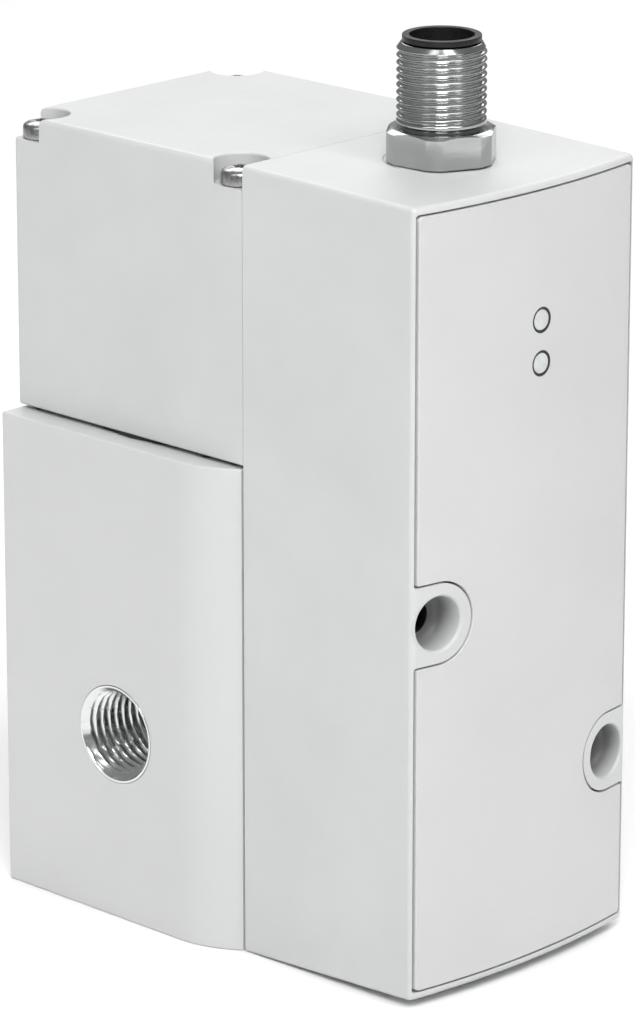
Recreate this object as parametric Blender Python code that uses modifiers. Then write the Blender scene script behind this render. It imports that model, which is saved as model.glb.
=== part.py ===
"""Electro pneumatic pressure regulator: a tall moulded electronics housing with a bowed snap-in
front cover and a round threaded plug on top, and behind it a cast valve body that carries a pilot cap.

Lengths are metres and +Z is up. X = 0 is the middle plane, Y = 0 is the seam between the housing
(in front, at -Y) and the two rear blocks (at +Y), and Z = 0 is the underside of the valve body.
Supply air enters at the port on -X, regulated air leaves at the port on +X, and the exhaust leaves
downwards through the bottom plug. The valve axis is vertical, through the middle of the valve body.
"""

import math

import bmesh
import bpy

# Fits
SEAT = 0.0001            # air between two parts that touch
FIT = 0.00015            # radial clearance of a part in its bore
SEAM = 0.0002            # air between the housing and the pilot cap
BODY_SEAM = 0.0004       # air between the housing and the valve body
CUT_OVERRUN = 0.002      # how far a cutter runs past the face it opens

# Electronics housing
HOUSING_WIDTH = 0.0434
SIDE_TAPER = 0.0002      # each side leans in by this towards the front
HOUSING_HEIGHT = 0.1108
HOUSING_DEPTH = 0.0308   # seam to front corner
FRONT_BOW = 0.00195      # how far the middle of the front stands before its corners
TOP_DRAFT = 0.0006       # the top falls by this towards the front
BOTTOM_DRAFT = 0.0013    # the underside rises by this towards the front
HOUSING_EDGE = 0.0009
SEAM_EDGE = 0.0003
SIDE_WALL = 0.0020
TOP_WALL = 0.0028
BOTTOM_WALL = 0.0027
REAR_WALL = 0.0022
WIRE_WINDOW = 0.0100

# Front cover
COVER_INSET = 0.0009     # from the housing's side to the cover's edge
COVER_BOTTOM = 0.0026
COVER_TOP_INSET = 0.0018
COVER_CORNER = 0.0007
COVER_INNER_CORNER = 0.0004
COVER_GAP = 0.00025
COVER_SIDE_GAP = 0.0004  # the gap is wider along the straight sides
COVER_WALL = 0.0016
COVER_PROUD = 0.0001
COVER_LEDGE = 0.0284     # depth of the flat ledge that the cover rests on, from the seam

# Mounting bores, which run from the front through the whole part
BORE_INSET = 0.00475         # from the housing's side
LEFT_BORE_DROP = 0.0154      # below the top of the valve body
RIGHT_BORE_Z = 0.0272
BORE_RADIUS = 0.0022
COUNTERBORE_RADIUS = 0.0037
COUNTERBORE_FLOOR = 0.0273   # from the seam
BOSS_RADIUS = 0.0055

# Light pipes
PIPE_X = 0.00105
PIPE_DROP = 0.0192           # of the upper pipe below the housing's top
PIPE_SPACING = 0.0059
PIPE_RADIUS = 0.0014
PIPE_FLANGE = 0.0021
PIPE_FLANGE_LENGTH = 0.0010
PIPE_PROUD = 0.0001
LED_SIZE = 0.0016

# Circuit board and pressure sensor
BOARD_INSET = 0.0047     # from the housing's side
BOARD_BOTTOM = 0.0080
BOARD_TOP_INSET = 0.0133
BOARD_THICKNESS = 0.0016
BOARD_BACK = 0.0184      # from the seam
BOARD_BOSS_AIR = 0.0006
POST_RADIUS = 0.0022
POST_INSET = 0.0087      # from the housing's side
POST_DROP = 0.0193       # of the upper post below the housing's top
LOWER_POST_Z = 0.0400
POST_HOLE_RADIUS = 0.0011
BOARD_SCREW_RADIUS = 0.0010
BOARD_SCREW_LENGTH = 0.0060
BOARD_SCREW_HEAD = 0.0020
BOARD_SCREW_HEAD_HEIGHT = 0.0014
SENSOR_SIZE = 0.0100
SENSOR_DEPTH = 0.0050
SENSOR_NIPPLE_RADIUS = 0.0016
SENSE_BORE_RADIUS = 0.0010
SENSOR_SEAL_WIRE = 0.0010

# Round plug on top
PLUG_Y = -0.0156
THREAD_RADIUS = 0.0060
THREAD_TOP = 0.0157      # this and the next heights are measured from the housing's top
THREAD_CHAMFER = 0.0006
UNDERCUT_RADIUS = 0.0053
UNDERCUT_HEIGHT = 0.0007
HEXAGON_FLATS = 0.0140
HEXAGON_CORNERS = 0.0150
HEXAGON_HEIGHT = 0.0043
HEXAGON_CHAMFER = 0.0004
HEXAGON_TURN = math.radians(36)
SPOT_FACE_RADIUS = 0.0077
SPOT_FACE_DEPTH = 0.0003
SHANK_RADIUS = 0.0058
SHANK_LENGTH = 0.0090
SLEEVE_BORE = 0.0049
COLLAR_RADIUS = 0.00527
COLLAR_TOP = 0.01666
SOCKET_RADIUS = 0.0043
SOCKET_FLOOR = 0.0060
INSERT_BOTTOM = 0.0085
KEY_WIDTH = 0.0011
KEY_DEPTH = 0.0006
PIN_RADIUS = 0.0005
PIN_CIRCLE = 0.00225
FIRST_PIN = 45           # degrees
LAST_PIN = 315
PIN_TOP = 0.0140
PIN_BOTTOM = 0.0115
NUT_FLATS = 0.0150
NUT_HEIGHT = 0.0028
TOP_SEAL_WIRE = 0.0008

# Rear blocks
BLOCK_DEPTH = 0.0441
BODY_WIDTH = 0.0496
BODY_BEND_RADIUS = 0.0142
BODY_BEND_DEPTH = 0.0095
BODY_EDGE = 0.0004
CAP_HEIGHT = 0.0412
DIAPHRAGM_SEAM = 0.0006  # between the valve body and the cap
CAP_EDGE = 0.0008
NOTCH_INSET = 0.0029
NOTCH_RADIUS = 0.0037
NOTCH_DEPTH = 0.0034
CAVITY_SIDE_WALL = 0.0077
CAVITY_ROOF = 0.0043
CAVITY_DEPTH = 0.0330

# Screws through the cap
SCREW_RADIUS = 0.0015
SCREW_LENGTH = 0.0495
SCREW_HEAD_RADIUS = 0.00275
SCREW_HEAD_HEIGHT = 0.0023
SCREW_HEAD_EDGE = 0.0016     # height of the straight side of the head
SOCKET_ACROSS = 0.0024
SOCKET_DEPTH = 0.0012
SOCKET_SHARE = 0.6           # most of a head's height that its socket may take

# Screws that hold the housing to the rear blocks
HOUSING_SCREW_INSET = 0.0097
LOWER_SCREW_Z = 0.0080
UPPER_SCREW_RISE = 0.0094    # above the cap's underside
HOUSING_SCREW_RADIUS = 0.0015
HOUSING_SCREW_LENGTH = 0.0100
HOUSING_SCREW_HEAD = 0.0027
HOUSING_SCREW_HEAD_HEIGHT = 0.0018

# Ports
PORT_RIM_RADIUS = 0.00695
PORT_CHAMFER_RADIUS = 0.0067
PORT_BORE_RADIUS = 0.00572
PORT_INSERT_LENGTH = 0.0120
PORT_GROOVE_DEPTH = 0.0004
PORT_GROOVE_WIDTH = 0.0020
PORT_PASSAGE_RADIUS = 0.0045
SUPPLY_PORT_Z = 0.0270
OUTLET_PORT_DROP = 0.0180    # below the top of the valve body

# Valve inside the body
VALVE_TRAVEL = 0.0015
LOWER_CHAMBER_RADIUS = 0.0090
SEAT_SHOULDER = 0.0340
SEAT_RING_HEIGHT = 0.0026
SEAT_BORE = 0.0044
SEAT_LIP = 0.0007
UPPER_CHAMBER_RADIUS = 0.0070
STEM_GUIDE_HEIGHT = 0.0040
FEEDBACK_HOLE_RADIUS = 0.0008
FEEDBACK_HOLE_X = 0.0052
CONTROL_CHAMBER_DEPTH = 0.0090
CONTROL_CHAMBER_RADIUS = 0.0155
POPPET_TUBE_RADIUS = 0.0025
POPPET_HOLE_RADIUS = 0.0014
POPPET_FLANGE_RADIUS = 0.0064
POPPET_FLANGE_HEIGHT = 0.0030
POPPET_SEAL_HEIGHT = 0.0014
POPPET_TOP_DROP = 0.0070     # below the top of the upper chamber
POPPET_SEAT_AIR = 0.0002    # between the poppet's rubber and the seat's lip
SPRING_RADIUS = 0.0042
SPRING_WIRE = 0.0007
SPRING_TURNS = 5
PLUG_RADIUS = 0.0100
PLUG_SUNK = 0.0004
PLUG_TOP = 0.0130
EXHAUST_RADIUS = 0.0043
EXHAUST_DEPTH = 0.0075
PLUG_SEAL_WIRE = 0.0016
STEM_SEAL_WIRE = 0.0010
PISTON_STEM_RADIUS = 0.0029
PISTON_PLATE_RADIUS = 0.0120
PISTON_PLATE_HEIGHT = 0.0028
PISTON_NECK_RADIUS = 0.0025
PISTON_NECK_RISE = 0.0020    # above the cap's underside
DIAPHRAGM_INSET = 0.0001     # from the cap's side
DIAPHRAGM_FOLD_DEPTH = 0.0013
DIAPHRAGM_FOLD_AIR = 0.0003
DIAPHRAGM_PLATE_RADIUS = 0.0115
DIAPHRAGM_PLATE_HEIGHT = 0.0014
PILOT_CHAMBER_DEPTH = 0.0054
CHANNEL_SEAL_INSET = 0.0018  # from the cap's side
CHANNEL_SEAL_Y = 0.0082
CHANNEL_SEAL_RADIUS = 0.0012

# Pilot valves in the cap
PILOT_Y = 0.0200
COIL_AIR = 0.0011        # from a coil to the cavity's side and to the middle
NOZZLE_PLATE = 0.0070    # thickness of the wall between the two chambers of the cap
COIL_HEIGHT = 0.0190
COIL_BORE = 0.00265
COIL_BORE_DEPTH = 0.0140
NOZZLE_RADIUS = 0.0018
NOZZLE_HOLE = 0.0005
NOZZLE_PROUD = 0.0008
ARMATURE_RADIUS = 0.0024
ARMATURE_LENGTH = 0.0075
ARMATURE_LIFT = 0.0004
PILOT_SPRING_RADIUS = 0.0015
PILOT_SPRING_WIRE = 0.0004
PILOT_SPRING_TURNS = 4

# Smoothness of round shapes
FINE = 36
MEDIUM = 24
COARSE = 16
SMALL = 12
DOME_STEPS = 3
COIL_POINTS = 8          # points in each turn of a spring
WIRE_SMOOTHNESS = 1
BOW_STEPS = 12
CORNER_STEPS = 3
BOSS_STEPS = 16
BITE_STEPS = 18
BEND_STEPS = 10
NOTCH_STEPS = 20
FOLD_STEPS = 8
WIRE_SIDES = 6           # sides of a seal ring's section
HOUSING_EDGE_STEPS = 3
BODY_EDGE_STEPS = 2
CAP_EDGE_STEPS = 4
SHARP = math.radians(25)         # an edge sharper than this is rounded
SHADED_SHARP = math.radians(35)  # an edge sharper than this is shaded sharp
FLAT = math.radians(0.1)
SAME_PLACE = 0.000001

# Widths and places worked out from the sizes above
FRONT_WIDTH = HOUSING_WIDTH - 2 * SIDE_TAPER
COVER_WIDTH = FRONT_WIDTH - 2 * COVER_INSET
BORE_X = HOUSING_WIDTH / 2 - BORE_INSET
BOARD_WIDTH = HOUSING_WIDTH - 2 * BOARD_INSET
POST_X = HOUSING_WIDTH / 2 - POST_INSET
HOUSING_SCREW_X = HOUSING_WIDTH / 2 - HOUSING_SCREW_INSET
CAP_WIDTH = HOUSING_WIDTH
CAVITY_WIDTH = CAP_WIDTH - 2 * CAVITY_SIDE_WALL
PILOT_X = CAVITY_WIDTH / 4
COIL_RADIUS = PILOT_X - COIL_AIR
DIAPHRAGM_RADIUS = CAP_WIDTH / 2 - DIAPHRAGM_INSET
CHANNEL_SEAL_X = CAP_WIDTH / 2 - CHANNEL_SEAL_INSET

# Heights worked out from the sizes above
COVER_TOP = HOUSING_HEIGHT - COVER_TOP_INSET
BOARD_TOP = HOUSING_HEIGHT - BOARD_TOP_INSET
POWER_PIPE_Z = HOUSING_HEIGHT - PIPE_DROP
ERROR_PIPE_Z = POWER_PIPE_Z - PIPE_SPACING
CAP_BOTTOM = HOUSING_HEIGHT - CAP_HEIGHT
BODY_HEIGHT = CAP_BOTTOM - DIAPHRAGM_SEAM
LEFT_BORE_Z = BODY_HEIGHT - LEFT_BORE_DROP
OUTLET_PORT_Z = BODY_HEIGHT - OUTLET_PORT_DROP
CONTROL_CHAMBER_FLOOR = BODY_HEIGHT - CONTROL_CHAMBER_DEPTH
UPPER_CHAMBER_TOP = CONTROL_CHAMBER_FLOOR - STEM_GUIDE_HEIGHT
POPPET_TOP = UPPER_CHAMBER_TOP - POPPET_TOP_DROP
SENSOR_Z = (SEAT_SHOULDER + UPPER_CHAMBER_TOP) / 2
UPPER_SCREW_Z = CAP_BOTTOM + UPPER_SCREW_RISE
PISTON_NECK_TOP = CAP_BOTTOM + PISTON_NECK_RISE
PILOT_CHAMBER_TOP = CAP_BOTTOM + PILOT_CHAMBER_DEPTH
CAVITY_FLOOR = PILOT_CHAMBER_TOP + NOZZLE_PLATE
CAVITY_TOP = HOUSING_HEIGHT - CAVITY_ROOF
COIL_BORE_TOP = CAVITY_FLOOR + COIL_BORE_DEPTH
WIRE_WINDOW_HEIGHT = (CAVITY_FLOOR + CAVITY_TOP) / 2

# Depths and groups worked out from the sizes above
BLOCK_FRONT = SEAM / 2
HOUSING_BACK = -SEAM / 2
BODY_FRONT = HOUSING_BACK + BODY_SEAM
SENSOR_POCKET = HOUSING_BACK + SENSOR_SEAL_WIRE + 2 * SEAT
VALVE_Y = BLOCK_DEPTH / 2
POST_PLACES = ((-POST_X, HOUSING_HEIGHT - POST_DROP), (POST_X, LOWER_POST_Z))
BOW_RADIUS = (FRONT_WIDTH ** 2 / 4 + FRONT_BOW ** 2) / (2 * FRONT_BOW)
NOTCH_FLOOR = HOUSING_HEIGHT - NOTCH_DEPTH
POPPET_FACE = SEAT_SHOULDER - SEAT - SEAT_RING_HEIGHT - SEAT_LIP - POPPET_SEAT_AIR
CENTRE_Y = (HOUSING_DEPTH + FRONT_BOW + COVER_PROUD + PIPE_PROUD - BLOCK_DEPTH) / 2
BORES = ((-BORE_X, LEFT_BORE_Z), (BORE_X, RIGHT_BORE_Z))
SCREW_PLACES = [
    (side * (CAP_WIDTH / 2 - NOTCH_INSET), y)
    for y in (NOTCH_INSET, BLOCK_DEPTH - NOTCH_INSET)
    for side in (-1, 1)
]
HOUSING_SCREWS = [(side * HOUSING_SCREW_X, z) for z in (LOWER_SCREW_Z, UPPER_SCREW_Z) for side in (-1, 1)]

UP = (0, 0, 0)
TO_FRONT = (math.pi / 2, 0, 0)
TO_LEFT = (0, -math.pi / 2, 0)
TO_RIGHT = (0, math.pi / 2, 0)


def clear_scene():
    """Removes whatever the new file already holds."""
    for thing in list(bpy.data.objects):
        bpy.data.objects.remove(thing, do_unlink=True)


def collection(name):
    """A new collection in the scene."""
    made = bpy.data.collections.new(name)
    bpy.context.scene.collection.children.link(made)
    return made


def material(name, colour, roughness, metallic=0.0):
    """A finish with one colour, one roughness and, for metals, full metallic shading."""
    made = bpy.data.materials.new(name)
    made.use_nodes = True
    shader = made.node_tree.nodes["Principled BSDF"]
    shader.inputs["Base Color"].default_value = (*colour, 1)
    shader.inputs["Roughness"].default_value = roughness
    shader.inputs["Metallic"].default_value = metallic
    return made


def add(name, mesh, finish, location=(0, 0, 0), rotation=UP):
    """A new object for a mesh; without a finish it is a cutter."""
    thing = bpy.data.objects.new(name, mesh)
    thing.location = location
    thing.rotation_euler = rotation
    if finish:
        mesh.materials.append(finish)
        PARTS.objects.link(thing)
    else:
        thing.hide_render = True
        thing.display_type = "WIRE"
        CUTTERS.objects.link(thing)
    return thing


def block(name, low, high, finish=None):
    """A box between two opposite corners."""
    bm = bmesh.new()
    bmesh.ops.create_cube(bm, size=1)
    for vertex in bm.verts:
        for axis in range(3):
            vertex.co[axis] = high[axis] if vertex.co[axis] > 0 else low[axis]
    mesh = bpy.data.meshes.new(name)
    bm.to_mesh(mesh)
    bm.free()
    return add(name, mesh, finish)


def rod(name, radius, length, location, rotation=UP, finish=None, sides=MEDIUM):
    """A round bar that starts at its location and runs along its own +Z."""
    bm = bmesh.new()
    bmesh.ops.create_cone(
        bm, cap_ends=True, segments=sides, radius1=radius, radius2=radius, depth=length
    )
    bmesh.ops.translate(bm, verts=bm.verts, vec=(0, 0, length / 2))
    mesh = bpy.data.meshes.new(name)
    bm.to_mesh(mesh)
    bm.free()
    if finish:
        smooth(mesh)
    return add(name, mesh, finish, location, rotation)


def smooth(mesh):
    """Smooth shading with sharp edges kept."""
    mesh.shade_smooth()
    mesh.set_sharp_from_angle(angle=SHADED_SHARP)


def turned(name, profile, location, rotation=UP, finish=None, steps=MEDIUM, ring=True):
    """A profile of (radius, height) turned about the object's own Z. The outer side runs downwards.
    A ring's profile is a closed loop; otherwise both its ends lie on the axis."""
    mesh = bpy.data.meshes.new(name)
    count = len(profile)
    edges = [(i, i + 1) for i in range(count - 1)]
    if ring:
        edges.append((count - 1, 0))
    mesh.from_pydata([(radius, 0, height) for radius, height in profile], edges, [])
    thing = add(name, mesh, finish, location, rotation)
    screw = thing.modifiers.new("turned", "SCREW")
    screw.steps = steps
    screw.render_steps = steps
    screw.use_merge_vertices = True
    screw.merge_threshold = SAME_PLACE
    screw.use_smooth_shade = True
    return thing


def extruded(name, outline, start, end, along, finish=None):
    """A closed flat outline extruded along Z (outline in XY), Y (in XZ) or X (in YZ)."""
    curve = bpy.data.curves.new(name + "_outline", "CURVE")
    curve.dimensions = "2D"
    curve.fill_mode = "BOTH"
    curve.extrude = (end - start) / 2
    spline = curve.splines.new("POLY")
    spline.points.add(len(outline) - 1)
    for point, (u, v) in zip(spline.points, outline):
        point.co = (u, v, 0, 1)
    spline.use_cyclic_u = True
    guide = bpy.data.objects.new(name + "_outline", curve)
    middle = (start + end) / 2
    guide.location = {"Z": (0, 0, middle), "Y": (0, middle, 0), "X": (middle, 0, 0)}[along]
    guide.rotation_euler = {"Z": UP, "Y": TO_FRONT, "X": (math.pi / 2, 0, math.pi / 2)}[along]
    CUTTERS.objects.link(guide)
    bpy.context.view_layer.update()
    evaluated = guide.evaluated_get(bpy.context.evaluated_depsgraph_get())
    mesh = bpy.data.meshes.new_from_object(evaluated)
    mesh.name = name
    mesh.transform(guide.matrix_world)
    bm = bmesh.new()
    bm.from_mesh(mesh)
    bmesh.ops.remove_doubles(bm, verts=bm.verts, dist=SAME_PLACE)
    bmesh.ops.dissolve_limit(bm, angle_limit=FLAT, verts=bm.verts, edges=bm.edges)
    bmesh.ops.recalc_face_normals(bm, faces=bm.faces)
    bm.to_mesh(mesh)
    bm.free()
    bpy.data.objects.remove(guide, do_unlink=True)
    bpy.data.curves.remove(curve)
    return add(name, mesh, finish)


def combine(thing, other, operation):
    """Adds a Boolean to a part. The other object becomes a cutter."""
    boolean = thing.modifiers.new(other.name, "BOOLEAN")
    boolean.operation = operation
    boolean.object = other


def cut(thing, *others):
    """Cuts each of the other objects out of a part."""
    for other in others:
        combine(thing, other, "DIFFERENCE")


def round_edges(thing, width, segments, weight_of):
    """Rounds the sharp edges. weight_of gives the share of the width for an edge's middle and direction."""
    bm = bmesh.new()
    bm.from_mesh(thing.data)
    layer = bm.edges.layers.float.new("bevel_weight_edge")
    for edge in bm.edges:
        sharp = len(edge.link_faces) == 2 and edge.calc_face_angle() > SHARP
        middle = (edge.verts[0].co + edge.verts[1].co) / 2
        along = (edge.verts[1].co - edge.verts[0].co).normalized()
        edge[layer] = weight_of(middle, along) if sharp else 0
    bm.to_mesh(thing.data)
    bm.free()
    bevel = thing.modifiers.new("rounded edges", "BEVEL")
    bevel.limit_method = "WEIGHT"
    bevel.width = width
    bevel.segments = segments
    smooth(thing.data)


def arc(centre, radius, start, end, steps):
    """Points on a circle between two angles in degrees."""
    angles = [math.radians(start + (end - start) * i / steps) for i in range(steps + 1)]
    return [(centre[0] + radius * math.cos(a), centre[1] + radius * math.sin(a)) for a in angles]


def bow_y(x, offset=0.0):
    """Y of the bowed front at x. A positive offset lies behind the front."""
    radius = BOW_RADIUS - offset
    centre = -HOUSING_DEPTH - FRONT_BOW + BOW_RADIUS
    return centre - math.sqrt(radius ** 2 - x ** 2)


def bow_line(half, offset=0.0, steps=BOW_STEPS):
    """Points of the bowed front in plan, from -X to +X."""
    places = [half * (2 * i / steps - 1) for i in range(steps + 1)]
    return [(x, bow_y(x, offset)) for x in places]


def behind_bow(name, offset):
    """Everything behind the bowed front moved back by the offset, as a cutter."""
    half = HOUSING_WIDTH
    outline = bow_line(half, offset, 2 * BOW_STEPS) + [(half, 0), (-half, 0)]
    return extruded(name, outline, -CUT_OVERRUN, HOUSING_HEIGHT + CUT_OVERRUN, "Z")


def coil(name, radius, wire, low, high, turns, x, y, finish):
    """A compression spring between two heights, as a wire along a helix."""
    curve = bpy.data.curves.new(name, "CURVE")
    curve.dimensions = "3D"
    curve.bevel_depth = wire / 2
    curve.bevel_resolution = WIRE_SMOOTHNESS
    curve.use_fill_caps = True
    count = turns * COIL_POINTS + 1
    spline = curve.splines.new("POLY")
    spline.points.add(count - 1)
    first, last = low + wire / 2, high - wire / 2
    for i, point in enumerate(spline.points):
        turn = 2 * math.pi * i / COIL_POINTS
        height = first + (last - first) * i / (count - 1)
        point.co = (radius * math.cos(turn), radius * math.sin(turn), height, 1)
    curve.materials.append(finish)
    spring = bpy.data.objects.new(name, curve)
    spring.location = (x, y, 0)
    PARTS.objects.link(spring)
    return spring


def seal_ring(name, inner, wire, middle, location, rotation, finish):
    """A rubber ring of round section, fitted round a shaft of the inner radius."""
    radius = inner + wire / 2
    profile = arc((radius, middle), wire / 2, 90, 360 / WIRE_SIDES - 270, WIRE_SIDES - 1)
    return turned(name, profile, location, rotation, finish, MEDIUM)


def hexagon(name, flats, low, high, turn, location, finish=None):
    """A six-sided bar, given across its flats."""
    points = arc((0, 0), flats / math.sqrt(3), 0, 300, 5)
    thing = extruded(name, points, low, high, "Z", finish)
    thing.location = location
    thing.rotation_euler = (0, 0, turn)
    return thing


def boss_outline(x, z, radius):
    """The D shape of a mounting boss in XZ: round towards the middle, straight to the side wall."""
    side = math.copysign(1, x)
    edge = side * HOUSING_WIDTH
    round_part = [(x - side * (u - x), v) for u, v in arc((x, z), radius, -90, 90, BOSS_STEPS)]
    outline = round_part + [(edge, z + radius), (edge, z - radius)]
    return outline if side < 0 else outline[::-1]


def cover_outline(margin, side_margin=None):
    """The cover in XZ: a rounded rectangle with a D-shaped bite round each mounting boss.
    A positive margin grows the sheet on all sides, so the bites shrink. The straight sides may
    have a margin of their own."""
    half = COVER_WIDTH / 2 + (margin if side_margin is None else side_margin)
    low, high = COVER_BOTTOM - margin, COVER_TOP + margin
    corner = COVER_INNER_CORNER if margin else COVER_CORNER
    bite = BOSS_RADIUS + COVER_GAP - margin
    right, left = (BORE_X, RIGHT_BORE_Z), (-BORE_X, LEFT_BORE_Z)
    points = arc((half - corner, low + corner), corner, -90, 0, CORNER_STEPS)
    points.append((half, right[1] - bite))
    points += arc(right, bite, -90, -270, BITE_STEPS)
    points.append((half, right[1] + bite))
    points += arc((half - corner, high - corner), corner, 0, 90, CORNER_STEPS)
    points += arc((-half + corner, high - corner), corner, 90, 180, CORNER_STEPS)
    points.append((-half, left[1] + bite))
    points += arc(left, bite, 90, -90, BITE_STEPS)
    points.append((-half, left[1] - bite))
    points += arc((-half + corner, low + corner), corner, 180, 270, CORNER_STEPS)
    return points


def housing_shell():
    """The outer form: a bowed plan extruded upwards, with the mould's draft at top and bottom."""
    half, front = HOUSING_WIDTH / 2, FRONT_WIDTH / 2
    outline = [(-half, HOUSING_BACK)] + bow_line(front) + [(half, HOUSING_BACK)]
    shell = extruded("electronics_housing", outline, 0, HOUSING_HEIGHT, "Z", LIGHT_GREY)
    for vertex in shell.data.vertices:
        share = min(-vertex.co.y / HOUSING_DEPTH, 1)
        vertex.co.z += BOTTOM_DRAFT * share if vertex.co.z < HOUSING_HEIGHT / 2 else -TOP_DRAFT * share

    def weight(middle, along):
        return SEAM_EDGE / HOUSING_EDGE if middle.y > HOUSING_BACK - FIT else 1

    round_edges(shell, HOUSING_EDGE, HOUSING_EDGE_STEPS, weight)
    return shell


def housing_inside():
    """The space inside the housing, open at the front, with the mounting bosses and posts left standing."""
    half = HOUSING_WIDTH / 2 - SIDE_WALL
    back = HOUSING_BACK - REAR_WALL
    front = -HOUSING_DEPTH - FRONT_BOW - CUT_OVERRUN
    space = block(
        "housing_inside",
        (-half, front, BOTTOM_WALL + BOTTOM_DRAFT),
        (half, back, HOUSING_HEIGHT - TOP_WALL - TOP_DRAFT),
    )
    for number, (x, z) in enumerate(BORES, 1):
        boss = extruded(
            f"boss_{number}", boss_outline(x, z, BOSS_RADIUS), front - CUT_OVERRUN, back + CUT_OVERRUN, "Y"
        )
        cut(space, boss)
    for number, (x, z) in enumerate(POST_PLACES, 1):
        length = BOARD_BACK - SEAT - REAR_WALL + CUT_OVERRUN
        post = rod(
            f"post_{number}", POST_RADIUS, length, (x, back + CUT_OVERRUN, z), TO_FRONT, sides=COARSE
        )
        cut(space, post)
    return space


def electronics_housing():
    """The moulded box that stands in front of the blocks, open towards the cover."""
    shell = housing_shell()
    front = -HOUSING_DEPTH - FRONT_BOW - CUT_OVERRUN
    outline = cover_outline(COVER_GAP, COVER_SIDE_GAP)
    recess = extruded("cover_recess", outline, front, -COVER_LEDGE, "Y")
    cut(shell, recess, housing_inside())
    for number, (x, z) in enumerate(BORES, 1):
        wide_length = -COUNTERBORE_FLOOR - front
        start = (x, -COUNTERBORE_FLOOR, z)
        cut(shell, rod(f"counterbore_{number}", COUNTERBORE_RADIUS, wide_length, start, TO_FRONT))
        start = (x, CUT_OVERRUN, z)
        cut(shell, rod(f"housing_bore_{number}", BORE_RADIUS, -front, start, TO_FRONT, sides=COARSE))
    top = HOUSING_HEIGHT
    below = top - TOP_WALL - TOP_DRAFT - CUT_OVERRUN
    cut(
        shell,
        rod("spot_face", SPOT_FACE_RADIUS, CUT_OVERRUN, (0, PLUG_Y, top - SPOT_FACE_DEPTH)),
        rod("plug_hole", SHANK_RADIUS + FIT, top - below, (0, PLUG_Y, below)),
    )
    for number, (x, z) in enumerate(HOUSING_SCREWS, 1):
        start = (x, CUT_OVERRUN, z)
        hole = rod(f"screw_hole_{number}", HOUSING_SCREW_RADIUS + FIT, 2 * CUT_OVERRUN + REAR_WALL, start,
                   TO_FRONT, sides=COARSE)
        cut(shell, hole)
    for number, (x, z) in enumerate(POST_PLACES, 1):
        start = (x, -BOARD_BACK + BOARD_SCREW_LENGTH, z)
        hole = rod(f"post_hole_{number}", POST_HOLE_RADIUS, BOARD_SCREW_LENGTH + CUT_OVERRUN, start,
                   TO_FRONT, sides=COARSE)
        cut(shell, hole)
    start = (0, CUT_OVERRUN, SENSOR_Z)
    cut(shell, rod("nipple_hole", SENSOR_NIPPLE_RADIUS + FIT, 2 * CUT_OVERRUN + REAR_WALL, start, TO_FRONT,
                   sides=COARSE))
    half = WIRE_WINDOW / 2
    cut(shell, block(
        "wire_window",
        (-half, -REAR_WALL - CUT_OVERRUN, WIRE_WINDOW_HEIGHT - half),
        (half, CUT_OVERRUN, WIRE_WINDOW_HEIGHT + half),
    ))


def front_cover():
    """A bowed moulded lid of one wall thickness, open towards the board."""
    front = -HOUSING_DEPTH - FRONT_BOW - CUT_OVERRUN
    back = -COVER_LEDGE - SEAT
    cover = extruded("front_cover", cover_outline(0), front, back, "Y", COVER_GREY)
    combine(cover, behind_bow("cover_front", -COVER_PROUD), "INTERSECT")
    hollow = extruded("cover_inside", cover_outline(-COVER_WALL), front, back + CUT_OVERRUN, "Y")
    combine(hollow, behind_bow("cover_back", COVER_WALL), "INTERSECT")
    cut(cover, hollow)
    for name, z in (("power", POWER_PIPE_Z), ("error", ERROR_PIPE_Z)):
        start = (PIPE_X, back, z)
        cut(cover, rod(f"{name}_hole", PIPE_RADIUS + FIT, back - front, start, TO_FRONT, sides=COARSE))


def light_pipes():
    """Two clear pipes that bring the light of the board's lamps to the front, each behind a flange."""
    face = -bow_y(PIPE_X) + COVER_PROUD + PIPE_PROUD
    flange = -bow_y(PIPE_X, COVER_WALL) - SEAT
    lamp = BOARD_BACK + BOARD_THICKNESS + 2 * SEAT + LED_SIZE
    back = lamp + SEAT
    for name, z in (("power", POWER_PIPE_Z), ("error", ERROR_PIPE_Z)):
        profile = [
            (0, face),
            (PIPE_RADIUS, face),
            (PIPE_RADIUS, flange),
            (PIPE_FLANGE, flange),
            (PIPE_FLANGE, flange - PIPE_FLANGE_LENGTH),
            (PIPE_RADIUS, flange - PIPE_FLANGE_LENGTH),
            (PIPE_RADIUS, back),
            (0, back),
        ]
        turned(f"light_pipe_{name}", profile, (PIPE_X, 0, z), TO_FRONT, CLEAR, COARSE, ring=False)
        half = LED_SIZE / 2
        low = (PIPE_X - half, -lamp, z - half)
        high = (PIPE_X + half, -lamp + LED_SIZE, z + half)
        block(f"lamp_{name}", low, high, WHITE)


def circuit_board():
    """The board on its two posts, with a bite round each mounting boss."""
    half = BOARD_WIDTH / 2
    front, back = -BOARD_BACK - BOARD_THICKNESS, -BOARD_BACK
    board = block("circuit_board", (-half, front, BOARD_BOTTOM), (half, back, BOARD_TOP), GREEN)
    for number, (x, z) in enumerate(BORES, 1):
        outline = boss_outline(x, z, BOSS_RADIUS + BOARD_BOSS_AIR)
        cut(board, extruded(f"board_bite_{number}", outline, front - CUT_OVERRUN, back + CUT_OVERRUN, "Y"))
    for number, (x, z) in enumerate(POST_PLACES, 1):
        start = (x, back + CUT_OVERRUN, z)
        length = BOARD_THICKNESS + 2 * CUT_OVERRUN
        cut(board, rod(f"board_hole_{number}", POST_HOLE_RADIUS, length, start, TO_FRONT, sides=COARSE))
        pan_screw(f"board_screw_{number}", (x, front - SEAT, z), TO_FRONT, BOARD_SCREW_RADIUS,
                  BOARD_SCREW_LENGTH, BOARD_SCREW_HEAD, BOARD_SCREW_HEAD_HEIGHT)


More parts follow.
